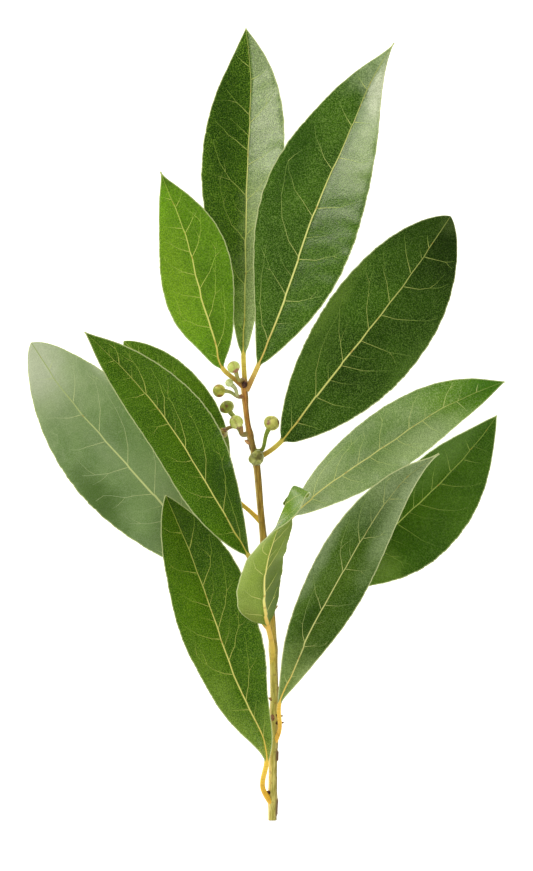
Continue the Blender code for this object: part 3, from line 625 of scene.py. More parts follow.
def distance_to_veins(surface, veins, y, s):
    """How far each (y, s) of a blade lies from the nearest side vein, in millimetres."""
    half = surface.half_at(surface.base + y)
    spot = np.stack((s * half, y), axis=-1).reshape(-1, 2)
    best = np.full(len(spot), FAR)
    for chain in veins:
        ys, shares, _ = np.array(chain).T
        line = np.stack((shares * surface.half_at(surface.base + ys), ys), axis=-1)
        a, b = line[:-1], line[1:]
        d = b - a
        share = np.einsum("nij,ij->ni", spot[:, None, :] - a[None], d) / (d * d).sum(axis=1)
        near = a[None] + np.clip(share, 0.0, 1.0)[..., None] * d[None]
        best = np.minimum(best, np.linalg.norm(spot[:, None, :] - near, axis=-1).min(axis=1))
    return best.reshape(y.shape)


# ---------------- meshes
class Shell:
    """What a piece is made of, gathered part by part: vertices in millimetres, faces, the material slot of
    each face, and for each vertex the three plan values that the materials read."""

    def __init__(self):
        self.vertices, self.faces, self.slots, self.plans = [], [], [], []

    def _add_rings(self, rings, side_slots, plans):
        """Quads round and along rings of vertices; the first vertex's number is returned."""
        start = len(self.vertices)
        rows, sides = rings.shape[:2]
        self.vertices.extend(rings.reshape(-1, 3))
        self.plans.extend(plans)
        for row in range(rows - 1):
            for i in range(sides):
                a, b = start + row * sides + i, start + row * sides + (i + 1) % sides
                self.faces.append((a, b, b + sides, a + sides))
        self.slots.extend(side_slots * (rows - 1))
        return start

    def add_tube(self, rings, side_slots, plans):
        """A tube whose ends are closed round a middle vertex; the last two plans are theirs."""
        start = self._add_rings(rings, side_slots, plans)
        rows, sides = rings.shape[:2]
        for row in (0, rows - 1):
            middle = len(self.vertices)
            self.vertices.append(rings[row].mean(axis=0))
            for i in range(sides):
                a, b = start + row * sides + i, start + row * sides + (i + 1) % sides
                self.faces.append((b, a, middle) if row == 0 else (a, b, middle))
            self.slots.extend(side_slots[:1] * sides)

    def add_strip(self, rings, slot, plans):
        """A tube whose ends are closed by one flat face each."""
        rows, sides = rings.shape[:2]
        start = self._add_rings(rings, [slot] * sides, plans)
        last = start + (rows - 1) * sides
        self.faces.append(tuple(range(start, start + sides)))
        self.faces.append(tuple(reversed(range(last, last + sides))))
        self.slots.extend([slot] * 2)


def add_piece(name, shell, materials):
    """A smooth mesh object with its materials and plan values."""
    mesh = bpy.data.meshes.new(name)
    mesh.from_pydata([tuple(p) for p in np.asarray(shell.vertices) * MM], [], shell.faces)
    for material in materials:
        mesh.materials.append(material)
    mesh.polygons.foreach_set("material_index", shell.slots)
    mesh.polygons.foreach_set("use_smooth", [True] * len(shell.faces))
    mesh.update()
    obj = bpy.data.objects.new(name, mesh)
    bpy.context.scene.collection.objects.link(obj)
    face_outwards(mesh)
    give_vector(obj, "plan", shell.plans)
    return obj


def face_outwards(mesh):
    shape = bmesh.new()
    shape.from_mesh(mesh)
    bmesh.ops.recalc_face_normals(shape, faces=shape.faces)
    shape.to_mesh(mesh)
    shape.free()


def give_vector(obj, name, values):
    layer = obj.data.attributes.new(name, "FLOAT_VECTOR", "POINT")
    layer.data.foreach_set("vector", np.asarray(values, np.float32).ravel())


# ---------------- leaves
UPPER, LOWER, VEINS = 0, 1, 2                   # material slots of a leaf
ROW_CROWDING, COLUMN_CROWDING = 0.4, 0.65
# How far the faces swell between the side veins, how much of that the lower face has, and how wide it is
# held down over a vein, at the margin and at the midrib
QUILT, QUILT_LOW = 0.085, 0.8
QUILT_VALLEY, QUILT_MARGIN, QUILT_MIDRIB = 1.5, 1.4, 1.2
# The midrib's height and width on both faces, and how much of the height is gone at the tip
RIB_TOP, RIB_TOP_WIDTH, RIB_LOW, RIB_LOW_WIDTH, RIB_FADE = 0.12, 0.34, 0.62, 0.55, 0.65
# The furrow on both sides of it: depth, place, width, and the blade's half width from which it is whole
FURROW, FURROW_PLACE, FURROW_WIDTH, FURROW_HALF = 0.06, 1.0, 0.5, 3.0
# How much thinner the margin is than the blade, and how far it stands out past the faces
MARGIN_THINNING, RIM = 0.45, 0.10
STALK_SWELLING, STALK_SWELLING_REACH = 0.28, 2.6
GROOVE, GROOVE_WIDTH, GROOVE_START = 0.20, 0.5, 4.0
HALF_THICK = 0.5 * BLADE_THICK
# The section of a side vein: shares of its half width, and heights around the two faces
VEIN_SUNK, VEIN_PROUD, VEIN_LOW = HALF_THICK - 0.02, HALF_THICK + 0.025, HALF_THICK + 0.09
VEIN_SECTION = ((1.0, VEIN_SUNK), (0.45, VEIN_PROUD), (-0.45, VEIN_PROUD), (-1.0, VEIN_SUNK),
                (-1.0, -VEIN_SUNK), (-0.5, -VEIN_LOW), (0.5, -VEIN_LOW), (1.0, -VEIN_SUNK))


class Grid:
    """Where a leaf's vertices are: place, y and t along it, s and x across it, edge from the margin."""

    def __init__(self, surface):
        stalk = np.linspace(0.0, surface.base, STALK_ROWS, endpoint=False)
        blade = surface.place_of(crowded(np.linspace(0.0, 1.0, BLADE_ROWS), ROW_CROWDING))
        even = np.linspace(-1.0, 1.0, BLADE_COLUMNS)
        columns = np.sign(even) * crowded(np.abs(even), COLUMN_CROWDING)
        self.place, self.s = np.meshgrid(np.concatenate((stalk, blade)), columns, indexing="ij")
        self.y = self.place - surface.base
        self.t = np.clip(self.y / surface.length, 0.0, 1.0)
        self.half = surface.half_at(self.place)
        self.x = self.s * self.half - surface.wander(np.clip(self.y, 0.0, None)) * (1.0 - self.s ** 2)
        self.edge = (1.0 - np.abs(self.s)) * self.half


def make_leaf(leaf):
    look = LOOKS[leaf.name]
    surface = Surface(leaf, look)
    veins = side_veins(surface, look)
    grid = Grid(surface)
    side_slots = [UPPER] * (BLADE_COLUMNS + 1) + [LOWER] * BLADE_COLUMNS + [UPPER]
    shell = Shell()
    shell.add_tube(leaf_rings(surface, look, grid, veins), side_slots, leaf_plans(grid))
    for chain in veins:
        add_vein(shell, surface, chain)
    obj = add_piece(leaf.name + "_blade", shell, leaf_materials(leaf.name, look, surface))
    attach(obj, "root")
    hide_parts(leaf.name)


def leaf_rings(surface, look, grid, veins):
    """Rings round a leaf: its upper face, the right rim, its lower face and the left rim."""
    middle = surface.points(grid.place, grid.s)
    above, below = blade_relief(surface, grid, veins)
    normal = surface.normals(grid.place, grid.s)
    blend = smooth(grid.y / surface.length / STALK_BLEND)[..., None]
    stalk_top, stalk_low = stalk_faces(surface, look, grid)
    top = stalk_top + (middle + normal * above[..., None] - stalk_top) * blend
    low = stalk_low + (middle - normal * below[..., None] - stalk_low) * blend
    rims = []
    for last, inner in ((-1, -2), (0, 1)):
        out = unit(middle[:, last] - middle[:, inner])
        rims.append((0.5 * (top[:, last] + low[:, last]) + RIM * out * blend[:, last])[:, None])
    return np.concatenate((top, rims[0], low[:, ::-1], rims[1]), axis=1)


def blade_relief(surface, grid, veins):
    """How far the upper and the lower face of a blade lie from its middle surface."""
    near = distance_to_veins(surface, veins, np.clip(grid.y, 0.0, None), grid.s)
    inner = smooth(grid.edge / QUILT_MARGIN) * smooth(np.abs(grid.x) / QUILT_MIDRIB)
    quilt = QUILT * (1.0 - hill(near, QUILT_VALLEY)) * inner
    fade = 1.0 - RIB_FADE * grid.t
    narrow = 0.5 + 0.5 * fade
    furrow = FURROW * hill(np.abs(grid.x) - FURROW_PLACE, FURROW_WIDTH) * smooth(grid.half / FURROW_HALF)
    rib_top = RIB_TOP * fade * hill(grid.x, RIB_TOP_WIDTH * narrow) - furrow
    rib_low = RIB_LOW * fade * hill(grid.x, RIB_LOW_WIDTH * narrow)
    thin = HALF_THICK * (1.0 - MARGIN_THINNING * np.abs(grid.s) ** 8)
    return thin + quilt + rib_top, thin - QUILT_LOW * quilt + rib_low


def stalk_faces(surface, look, grid):
    """The upper half of a leaf's round stalk, with a groove along it, and the lower half."""
    line, side, up = (surface.read(item, grid.place) for item in (surface.line, surface.side, surface.up))
    angle = grid.s * 0.5 * math.pi
    radius = STALK_RADIUS * look.slim * (1.0 + STALK_SWELLING * hill(grid.place, STALK_SWELLING_REACH))
    out = line + (radius * np.sin(angle))[..., None] * side
    high = radius * np.cos(angle)
    groove = GROOVE * hill(angle, GROOVE_WIDTH) * smooth(grid.place / GROOVE_START)
    return out + (high - groove)[..., None] * up, out - high[..., None] * up


def leaf_plans(grid):
    """What a leaf's materials read at each vertex: x across, y along, and how far the margin is."""
    plan = np.stack((grid.x, grid.y, grid.edge), axis=-1)
    rims = [plan[:, -1:].copy(), plan[:, :1].copy()]
    for rim in rims:
        rim[..., 2] = 0.0
    ring = np.concatenate((plan, rims[0], plan[:, ::-1], rims[1]), axis=1)
    return list(ring.reshape(-1, 3)) + [ring[end].mean(axis=0) for end in (0, -1)]


def add_vein(shell, surface, chain):
    """A thin closed strip through the blade, standing a little above both faces."""
    fine = np.linspace(0.0, len(chain) - 1.0, VEIN_STEPS * (len(chain) - 1) + 1)
    y, s, width = (np.interp(fine, np.arange(len(chain)), item) for item in np.array(chain).T)
    line = surface.points(surface.base + y, s)
    normal = surface.normals(surface.base + y, s)
    across = unit(np.cross(unit(np.gradient(line, axis=0)), normal))
    share, height = np.array(VEIN_SECTION).T
    rings = (line[:, None] + across[:, None] * (width[:, None] * share)[..., None]
             + normal[:, None] * height[:, None])
    plan = np.stack((np.abs(s), y, np.linspace(0.0, 1.0, len(line))), axis=-1)
    shell.add_strip(rings, VEINS, np.repeat(plan, len(VEIN_SECTION), axis=0))


# ---------------- the stem
BARK, SCALE = 0, 1                      # material slots of the stem
BARK_SEED, BARK_WAVES = 5, 14
BARK_LEVEL = -0.03                      # the relief's middle, from the stem's radius
FLAKE_END, FLAKE_SIDE = 0.5, 0.22       # over what length and what angle a flake rises
SCAR_ROWS, SCAR_SIDES, SCAR_RELIEF = 12, 14, 0.05


def stem_line(count):
    """Points along the stem's axis and the radius at each, with the nodes' swellings."""
    along = chord_lengths(STEM_AXIS)
    at = np.linspace(0.0, along[-1], count)
    axis = spline_through(along, STEM_AXIS, at)
    radius = np.interp(at, along, STEM_RADII)
    for place, swelling, half in STEM_NODES:
        radius = radius + swelling * hill(axis[:, 1] - place, half)
    return axis, radius


def round_skin(points, radii, sides, relief, first=(1.0, 0.0, 0.0)):
    """Rings of a tube whose radius is shifted by relief(row, angles)."""
    ahead = unit(np.gradient(points, axis=0))
    side = carried_sides(ahead, np.asarray(first, float))
    up = np.cross(side, ahead)
    turns = turns_of(sides)
    rings = []
    for k, point in enumerate(points):
        r = radii[k] + relief(k, turns)
        rings.append(point + (r * np.cos(turns))[:, None] * side[k] + (r * np.sin(turns))[:, None] * up[k])
    return np.array(rings)


def flake_at(y, turns):
    """How much of a flake there is (0 to 1) and its height in millimetres, round the stem at y."""
    share, height = np.zeros_like(turns), np.zeros_like(turns)
    for low, high, middle, half, tall in FLAKES:
        along = smooth((y - low) / FLAKE_END) * smooth((high - y) / FLAKE_END)
        gap = np.abs((turns - middle + math.pi) % (2.0 * math.pi) - math.pi)
        here = along * smooth((half - gap) / FLAKE_SIDE + 0.5)
        share, height = np.maximum(share, here), np.maximum(height, here * tall)
    return share, height


def make_stem():
    """The stem, with waves in its bark: how many go round it, pitch along it, phase and size."""
    axis, radius = stem_line(STEM_ROWS)
    rng = random.Random(BARK_SEED)
    waves = [(rng.randint(2, 9), rng.uniform(0.02, 0.35), rng.uniform(0.0, 6.28), rng.uniform(0.006, 0.022))
             for _ in range(BARK_WAVES)]

    def bark(k, turns):
        y = axis[k][1]
        total = np.full_like(turns, BARK_LEVEL)
        for sides, pitch, phase, size in waves:
            total += size * np.sin(sides * turns + pitch * y + phase)
        return total + flake_at(y, turns)[1]

    plans = []
    for point in axis:
        turns = turns_of(STEM_SIDES)
        plans += [(turn, point[1], flake) for turn, flake in zip(turns, flake_at(point[1], turns)[0])]
    plans += [(0.0, axis[end][1], 0.0) for end in (0, -1)]
    shell = Shell()
    shell.add_tube(round_skin(axis, radius, STEM_SIDES, bark), [BARK] * STEM_SIDES, plans)
    for scar in STEM_SCARS:
        add_scar(shell, scar)
    obj = add_piece("stem_bark", shell, [bark_material(), scale_material()])
    give_vector(obj, "round", [(math.cos(turn), math.sin(turn), 0.0) for turn, _, _ in shell.plans])
    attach(obj, "root")
    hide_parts("stem")


def add_scar(shell, scar):
    root, tip = np.array(scar.root), np.array(scar.tip)
    shares = np.linspace(0.0, 1.0, SCAR_ROWS)
    fullness = 0.9 + 0.25 * shares - 1.05 * shares ** 3

    def relief(k, turns):
        return SCAR_RELIEF * scar.size * np.cos(3.0 * turns + k)

    rings = round_skin(root + (tip - root) * shares[:, None], scar.size * fullness, SCAR_SIDES, relief)
    plans = [(scar.tone, root[1], 0.0)] * (SCAR_ROWS * SCAR_SIDES + 2)
    shell.add_tube(rings, [SCALE] * SCAR_SIDES, plans)


# ---------------- the flower buds
# Where a bud's stalk starts and ends: how far from the stem's axis and from the globe's middle, as shares
# of their radii
IN_STEM, IN_GLOBE = 0.45, 0.8
AIM_FROM = 0.8                          # share of the path from which a globe is aimed at its end
BUD_STALK_RELIEF = 0.035
POLE = 0.04                             # the angle from a globe's end at which its first ring lies
GLOBE_LENGTH = 0.98
SEAM_WIDTH, SECOND_SEAM_WIDTH = 0.10, 0.08
BRACT_STEP = 0.03                       # how far one bract's edge lies over the other's


def make_spray(name, buds):
    looks = BUD_LOOKS[name]
    shell = Shell()
    materials = []
    for k, (bud, look) in enumerate(zip(buds, looks)):
        add_bud(shell, bud, look, 2 * k)
        materials += [bud_material(f"{name}_bracts_{k}", look), stalk_material(f"{name}_stalk_{k}", look)]
    obj = add_piece(name + "_globes", shell, materials)
    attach(obj, "root")
    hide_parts(name)


def rooted(path):
    """A bud stalk's path, led back into the stem."""
    axis, radius = stem_line(STEM_ROWS)
    nearest = int(np.argmin(np.linalg.norm(axis - np.array(path[0]), axis=1)))
    out = unit(np.array(path[0]) - axis[nearest])
    return [tuple(axis[nearest] + out * IN_STEM * radius[nearest])] + list(path)


def add_bud(shell, bud, look, slot):
    """A bud's stalk, with the material slot after slot, and its globe of bracts."""
    path = rooted(bud.path)
    along = chord_lengths(path)
    at = np.linspace(0.0, along[-1] - IN_GLOBE * bud.radius, BUD_STALK_ROWS)
    add_bud_stalk(shell, spline_through(along, path, at), bud.stalk, slot + 1)
    ahead = unit(np.array(path[-1]) - spline_through(along, path, [AIM_FROM * along[-1]])[0])
    add_globe(shell, bud, look, ahead, slot)


def add_bud_stalk(shell, line, thickness, slot):
    share = np.linspace(0.0, 1.0, BUD_STALK_ROWS)
    radii = thickness * (0.92 + 0.40 * share ** 4 + 0.46 * hill(share, 0.28))

    def relief(k, turns):
        return BUD_STALK_RELIEF * np.cos(3.0 * turns + 0.5 * k)

    plans = [(place, 0.0, 0.0) for place in share for _ in range(BUD_STALK_SIDES)]
    plans += [(0.0, 0.0, 0.0), (1.0, 0.0, 0.0)]
    shell.add_tube(round_skin(line, radii, BUD_STALK_SIDES, relief), [slot] * BUD_STALK_SIDES, plans)


def add_globe(shell, bud, look, ahead, slot):
    polar = np.linspace(POLE, math.pi - POLE, BUD_ROWS)
    points = np.array(bud.path[-1]) - np.cos(polar)[:, None] * ahead * bud.radius * GLOBE_LENGTH
    side = unit(np.cross(ahead, (0.3, 0.2, 1.0)))
    up = np.cross(side, ahead)

    def bracts(k, turns):
        girth = math.sin(polar[k])
        wide = girth ** 2
        lobe = 0.7 * np.cos(2.0 * (turns - look.turn)) + 0.5 * np.cos(3.0 * turns + 1.7 * look.turn)
        step = BRACT_STEP * wide * ((turns - look.turn) % math.pi / math.pi)
        seam = look.seam * seam_at(look, polar[k], turns) * girth
        return bud.radius * (look.lobes * wide * lobe + step - seam)

    plans = []
    for angle in polar:
        turns = turns_of(BUD_SIDES)
        for turn, seam in zip(turns, seam_at(look, angle, turns)):
            out = math.sin(angle) * (math.cos(turn) * side + math.sin(turn) * up) - math.cos(angle) * ahead
            plans.append((seam, mark_at(look, out), angle / math.pi))
    plans += [(0.0, mark_at(look, -ahead), 0.0), (0.0, mark_at(look, ahead), 1.0)]
    rings = round_skin(points, np.sin(polar) * bud.radius, BUD_SIDES, bracts, side)
    shell.add_tube(rings, [slot] * BUD_SIDES, plans)


def seam_at(look, polar, turns):
    """1 on the seam between two bracts, and 0 away from it; the second seam is open towards the tip."""
    twist = 0.5 * math.cos(polar) + look.turn
    wide = max(math.sin(polar), 0.1)
    first = hill(np.abs(np.sin(turns - twist)) * wide, SEAM_WIDTH) * smooth((polar - 0.5) / 0.4)
    second = hill(np.abs(np.cos(turns - twist)) * wide, SECOND_SEAM_WIDTH) * smooth((polar - 1.25) / 0.5)
    return np.maximum(first, second)


def mark_at(look, out):
    """How brown a bud is (0 to 1) towards out."""
    most = 0.0
    for direction, reach in look.marks:
        near = float(np.dot(out, unit(np.array(direction))))
        most = max(most, float(smooth((near - reach) / (1.0 - reach) * 1.6)))
    return most


# ---------------- materials
def linear(colour):
    """A colour of sRGB bytes as the shader nodes need it."""
    out = []
    for byte in colour:
        c = byte / 255.0
        out.append(c / 12.92 if c <= 0.04045 else ((c + 0.055) / 1.055) ** 2.4)
    return (*out, 1.0)


def darker(colour, share):
    return tuple(share * c for c in colour)


class Nodes:
    """Short names for the shader nodes that the materials are built from."""
    MIX_A, MIX_B, MIX_RESULT = 6, 7, 2      # the colour sockets of a mix node

    def __init__(self, name):
        self.material = bpy.data.materials.new(name)
        self.material.use_nodes = True
        self.tree = self.material.node_tree
        self.shader = self.tree.nodes["Principled BSDF"]

    def new(self, kind, values=()):
        """A node whose first inputs are given values or links."""
        node = self.tree.nodes.new("ShaderNode" + kind)
        for value, socket in zip(values, node.inputs):
            self.put(value, socket)
        return node

    def put(self, value, socket):
        if isinstance(value, bpy.types.NodeSocket):
            self.tree.links.new(value, socket)
        else:
            socket.default_value = value

    def maths(self, operation, *values):
        node = self.new("Math", values)
        node.operation = operation
        return node.outputs[0]

    def times(self, a, b):
        return self.maths("MULTIPLY", a, b)

    def plus(self, a, b):
        return self.maths("ADD", a, b)

    def minus(self, a, b):
        return self.maths("SUBTRACT", a, b)

    def mix(self, factor, a, b, blend="MIX"):
        node = self.new("Mix")
        node.data_type = "RGBA"
        node.blend_type = blend
        for value, place in ((factor, 0), (a, self.MIX_A), (b, self.MIX_B)):
            self.put(value, node.inputs[place])
        return node.outputs[self.MIX_RESULT]

    def tones(self, factor, low, high):
        """From the colour low to the colour high."""
        return self.mix(factor, linear(low), linear(high))

    def paint(self, body, colour, amount):
        """A colour laid over body."""
        return self.mix(amount, body, linear(colour))

    def ramp(self, value, low, high, at_low, at_high):
        """A soft step from at_low, where value is low, to at_high, where it is high."""
        node = self.new("MapRange", (value, low, high, at_low, at_high))
        node.interpolation_type = "SMOOTHSTEP"
        return node.outputs[0]

    def rise(self, value, low, high, most=1.0):
        return self.ramp(value, low, high, 0.0, most)

    def fall(self, value, low, high, most=1.0):
        return self.ramp(value, low, high, most, 0.0)

    def attribute(self, name):
        """The three values of a vertex attribute."""
        node = self.new("Attribute")
        node.attribute_name = name
        return self.new("SeparateXYZ", (node.outputs["Vector"],)).outputs[:3]

    def where(self):
        """The place in the object, in metres."""
        return self.new("TexCoord").outputs["Object"]

    def join(self, x, y, z):
        return self.new("CombineXYZ", (x, y, z)).outputs[0]

    def noise(self, vector, scale, detail=2.0, rough=0.5):
        """Clouds, with scale waves to the unit of vector."""
        node = self.new("TexNoise", (vector,))
        node.inputs["Scale"].default_value = scale
        node.inputs["Detail"].default_value = detail
        node.inputs["Roughness"].default_value = rough
        return node.outputs["Fac"]

    def cell_edges(self, vector, scale):
        """How far the nearest edge between the cells of a net is."""
        node = self.new("TexVoronoi", (vector,))
        node.feature = "DISTANCE_TO_EDGE"
        node.inputs["Scale"].default_value = scale
        return node.outputs["Distance"]

    def bump(self, height, strength, distance=0.0001):
        node = self.new("Bump")
        node.inputs["Strength"].default_value = strength
        node.inputs["Distance"].default_value = distance
        self.put(height, node.inputs["Height"])
        self.tree.links.new(node.outputs[0], self.shader.inputs["Normal"])

    def finish(self, colour, roughness, specular):
        self.put(colour, self.shader.inputs["Base Color"])
        self.put(roughness, self.shader.inputs["Roughness"])
        self.shader.inputs["Specular IOR Level"].default_value = specular
        return self.material


MARGIN_COLOUR = (214, 220, 160)
# The pale colour of the painted sheen on the leaves
PAINTED_SHEEN_COLOUR = (202, 214, 172)
RIB_SPOT = (176, 136, 50)
PIT_SHADE = (0.44, 0.50, 0.40, 1.0)     # what a pit of the blade's fine grain leaves of its colour
PAINTED_SHADE_SHARE = 0.45                       # and what a leaf's painted shade leaves of its dark green
UNDER_SHADE = 0.86                      # the darker tone of a lower face, as a share of its colour
SEED_STEP = 3.7                         # how far apart two leaves' patterns lie


class Face(Nodes):
    """One face of a leaf, painted over its plan: x across, y along, and how far the margin is."""

    def __init__(self, name, look, surface):
        super().__init__(name)
        self.look = look
        self.width, self.length, self.base = surface.leaf.width, surface.length, surface.base
        self.x, self.y, self.edge = self.attribute("plan")
        self.away = self.maths("ABSOLUTE", self.x)
        self.seat = self.join(self.x, self.y, look.seed * SEED_STEP)
        self.fine = self.noise(self.seat, scale=3.0, detail=3.0, rough=0.7)
        self.net = self.cell_edges(self.seat, scale=1.6)
        self.cloud = self.noise(self.seat, scale=0.16, detail=3.0)
        self.strokes = self._strokes()

    def _strokes(self):
        """Short strokes that run outwards and on, as the side veins do."""
        slant = self.minus(self.times(self.y, 0.8), self.times(self.away, 0.6))
        run = self.plus(self.times(self.y, 0.6), self.times(self.away, 0.8))
        seat = self.join(self.times(slant, 1.5), self.times(run, 0.32), self.look.seed)
        return self.noise(seat, scale=0.8, detail=3.0, rough=0.6)

    def greens(self, dark, light):
        """Two greens in broad clouds, with the flecks and meshes of the net of veins."""
        body = self.tones(self.rise(self.noise(self.seat, scale=0.09), 0.25, 0.75), dark, light)
        flecks = self.times(self.fall(self.net, 0.0, 0.20), self.rise(self.fine, 0.38, 0.56))
        body = self.paint(body, self.look.vein, self.times(flecks, min(0.5 * self.look.grain, 0.9)))
        mesh = self.fall(self.cell_edges(self.seat, scale=0.30), 0.0, 0.03)
        there = self.rise(self.noise(self.seat, scale=0.25, detail=1.0), 0.45, 0.65, 0.30)
        return self.paint(body, self.look.vein, self.times(mesh, there))

    def paint_shade(self, body):
        """Painted shade: the left half, the right half and the tip, each as much darker as the look says."""
        left, right, tip = self.look.deep
        shade = self.plus(self.ramp(self.x, -0.5, 0.5, left, right),
                          self.rise(self.y, self.length * 0.6, self.length, tip))
        return self.paint(body, darker(self.look.dark, PAINTED_SHADE_SHARE), shade)

    def paint_sheen(self, body):
        """Pale painted sheen, in clouds and strokes, with more of it on the right half."""
        base, middle, tip = self.look.bloom
        sheen = self.plus(self.ramp(self.y, self.length * 0.1, self.length * 0.5, base, middle),
                        self.rise(self.y, self.length * 0.58, self.length * 0.85, tip - middle))
        sheen = self.plus(sheen, self.rise(self.x, 0.0, 1.2, self.look.bloom_right))
        sheen = self.times(sheen, self.ramp(self.cloud, 0.2, 0.7, 0.7, 1.25))
        sheen = self.times(sheen, self.ramp(self.strokes, 0.3, 0.7, 0.88, 1.1))
        return self.paint(body, PAINTED_SHEEN_COLOUR, sheen)

    def patched(self, body):
        """Ovals of other colours, with cloudy edges: painted sheen, painted shade and lighter or darker
        greens.
        """
        blur = self.plus(self.times(self.cloud, 0.7), self.times(self.strokes, 0.3))
        for t, x, along, across, colour, amount in self.look.patches:
            dx = self.maths("DIVIDE", self.minus(self.x, x * self.width), across * self.width)
            dy = self.maths("DIVIDE", self.minus(self.y, t * self.length), along * self.length)
            far = self.maths("SQRT", self.plus(self.times(dx, dx), self.times(dy, dy)))
            far = self.plus(far, self.minus(blur, 0.5))
            body = self.paint(body, colour, self.fall(far, 0.15, 1.05, amount))
        return body

    def pitted(self, body):
        grain = self.noise(self.seat, scale=3.3, rough=0.7)
        return self.mix(self.rise(grain, 0.43, 0.57, min(0.70 * self.look.grain, 0.95)), body, PIT_SHADE,
                        "MULTIPLY")

    def ribbed(self, body, light):
        """The midrib, which narrows and turns green towards the tip, with its brown spots."""
        half = self.ramp(self.y, 0.0, self.length, 0.36, 0.13)
        tone = self.tones(self.rise(self.y, 0.0, self.length * 0.22), self.look.stalk[1], self.look.rib)
        tone = self.paint(tone, light, self.rise(self.y, self.length * 0.35, self.length, 0.6))
        spots = self.noise(self.join(0.0, self.y, self.look.seed), scale=0.45, detail=1.0)
        tone = self.paint(tone, RIB_SPOT, self.rise(spots, 0.62, 0.70, 0.55))
        return self.mix(self.fall(self.maths("DIVIDE", self.away, half), 0.65, 1.15), body, tone)

    def edged(self, body):
        rim = self.times(self.fall(self.edge, 0.05, 0.26), self.rise(self.y, 0.5, 4.0, 0.6))
        return self.paint(body, MARGIN_COLOUR, rim)

    def stalked(self, body):
        stalk = self.tones(self.rise(self.y, -self.base * 0.75, -0.5), *self.look.stalk)
        spots = self.noise(self.seat, scale=0.9)
        stalk = self.paint(stalk, RIB_SPOT, self.rise(spots, 0.5, 0.7, 0.35))
        return self.mix(self.fall(self.y, -0.5, self.length * 0.022), body, stalk)

    def relief(self, strength):
        height = self.plus(self.times(self.rise(self.net, 0.0, 0.3), 0.5), self.times(self.fine, 0.5))
        self.bump(self.plus(height, self.times(self.strokes, 0.9)), strength)


def leaf_face(name, look, surface, dark, light, under):
    face = Face(name, look, surface)
    body = face.greens(dark, light)
    # Painted shade on the halves and the tip
    if any(look.deep):
        body = face.paint_shade(body)
    # Painted sheen on the upper face
    if not under and (any(look.bloom) or look.bloom_right):
        body = face.paint_sheen(body)
    # Patches of painted sheen, painted shade and other greens
    if under == look.patched_under:
        body = face.patched(body)
    body = face.stalked(face.edged(face.ribbed(face.pitted(body), light)))
    roughness, bump, specular = (0.55, 0.4, 0.3) if under else (0.25, 0.3, 0.45)
    face.relief(bump)
    return face.finish(body, face.ramp(face.fine, 0.3, 0.7, roughness - 0.04, roughness + 0.08), specular)


def vein_material(name, look):
    nodes = Nodes(name)
    share = nodes.attribute("plan")[2]
    colour = nodes.tones(nodes.ramp(share, 0.0, 0.8, 0.3, 0.85), look.rib, look.vein)
    colour = nodes.paint(colour, look.light, nodes.rise(share, 0.4, 1.0, 0.35))
    return nodes.finish(colour, 0.45, 0.35)


def leaf_materials(name, look, surface):
    return [leaf_face(name + "_top", look, surface, look.dark, look.light, False),
            leaf_face(name + "_under", look, surface, darker(look.under, UNDER_SHADE), look.under, True),
            vein_material(name + "_veins", look)]


# The bark's colours up the stem: a place along Y, the colour of its darker and of its paler streaks
BARK_TONES = (
    (-110.0, (150, 142, 48), (206, 196, 108)), (-76.0, (166, 158, 70), (208, 198, 108)),
    (-64.0, (182, 156, 56), (216, 196, 98)), (-46.0, (166, 132, 38), (208, 174, 74)),
    (-12.0, (146, 112, 30), (196, 158, 64)), (-5.0, (116, 96, 30), (170, 138, 62)),
    (0.0, (150, 98, 28), (198, 144, 60)), (9.0, (154, 98, 30), (206, 150, 66)),
)
FLAKE_COLOUR = (92, 56, 42)
# The painted highlight down the stem's left side and the painted shade down its right side
BARK_PAINTED_HIGHLIGHT, BARK_PAINTED_SHADE = (238, 210, 132), (100, 78, 22)
BARK_RING = (120, 84, 40)
CUT_END = (110, 100, 40)
SCAR_BROWNS = (58, 32, 32), (112, 74, 56)
SCAR_PALES = (170, 112, 62), (222, 172, 116)


def bark_material():
    nodes = Nodes("bark")
    _, y, flake = nodes.attribute("plan")
    right, up, _ = nodes.attribute("round")
    streaks = nodes.noise(nodes.join(right, nodes.times(y, 0.11), up), scale=2.2, detail=4.0, rough=0.6)
    rings = nodes.noise(nodes.join(right, y, up), scale=0.9)
    tall = nodes.rise(streaks, 0.36, 0.64)
    body, last = None, None
    for place, dark, light in BARK_TONES:
        here = nodes.tones(tall, dark, light)
        body = here if body is None else nodes.mix(nodes.rise(y, last, place), body, here)
        last = place
    # Painted highlight on the stem's left side and painted shade on its right side
    body = nodes.paint(body, BARK_PAINTED_HIGHLIGHT, nodes.rise(right, -0.3, -0.9, 0.6))
    body = nodes.paint(body, BARK_PAINTED_SHADE, nodes.rise(right, 0.3, 1.0, 0.75))
    body = nodes.paint(body, BARK_RING, nodes.rise(rings, 0.58, 0.70, 0.4))
    body = nodes.paint(body, FLAKE_COLOUR, nodes.times(flake, 0.85))
    body = nodes.paint(body, CUT_END, nodes.fall(y, -110.0, -109.7, 0.6))
    nodes.bump(streaks, 0.6, 0.0002)
    return nodes.finish(body, 0.55, 0.35)


def scale_material():
    """The scars of the stem and the scales of its end bud: brown, or paler by the scar's tone."""
    nodes = Nodes("bud_scale")
    grain = nodes.noise(nodes.where(), scale=1400.0, detail=3.0)
    streaks = nodes.rise(grain, 0.35, 0.65)
    tone = nodes.attribute("plan")[0]
    body = nodes.mix(tone, nodes.tones(streaks, *SCAR_BROWNS), nodes.tones(streaks, *SCAR_PALES))
    nodes.bump(grain, 0.4)
    return nodes.finish(body, 0.6, 0.3)


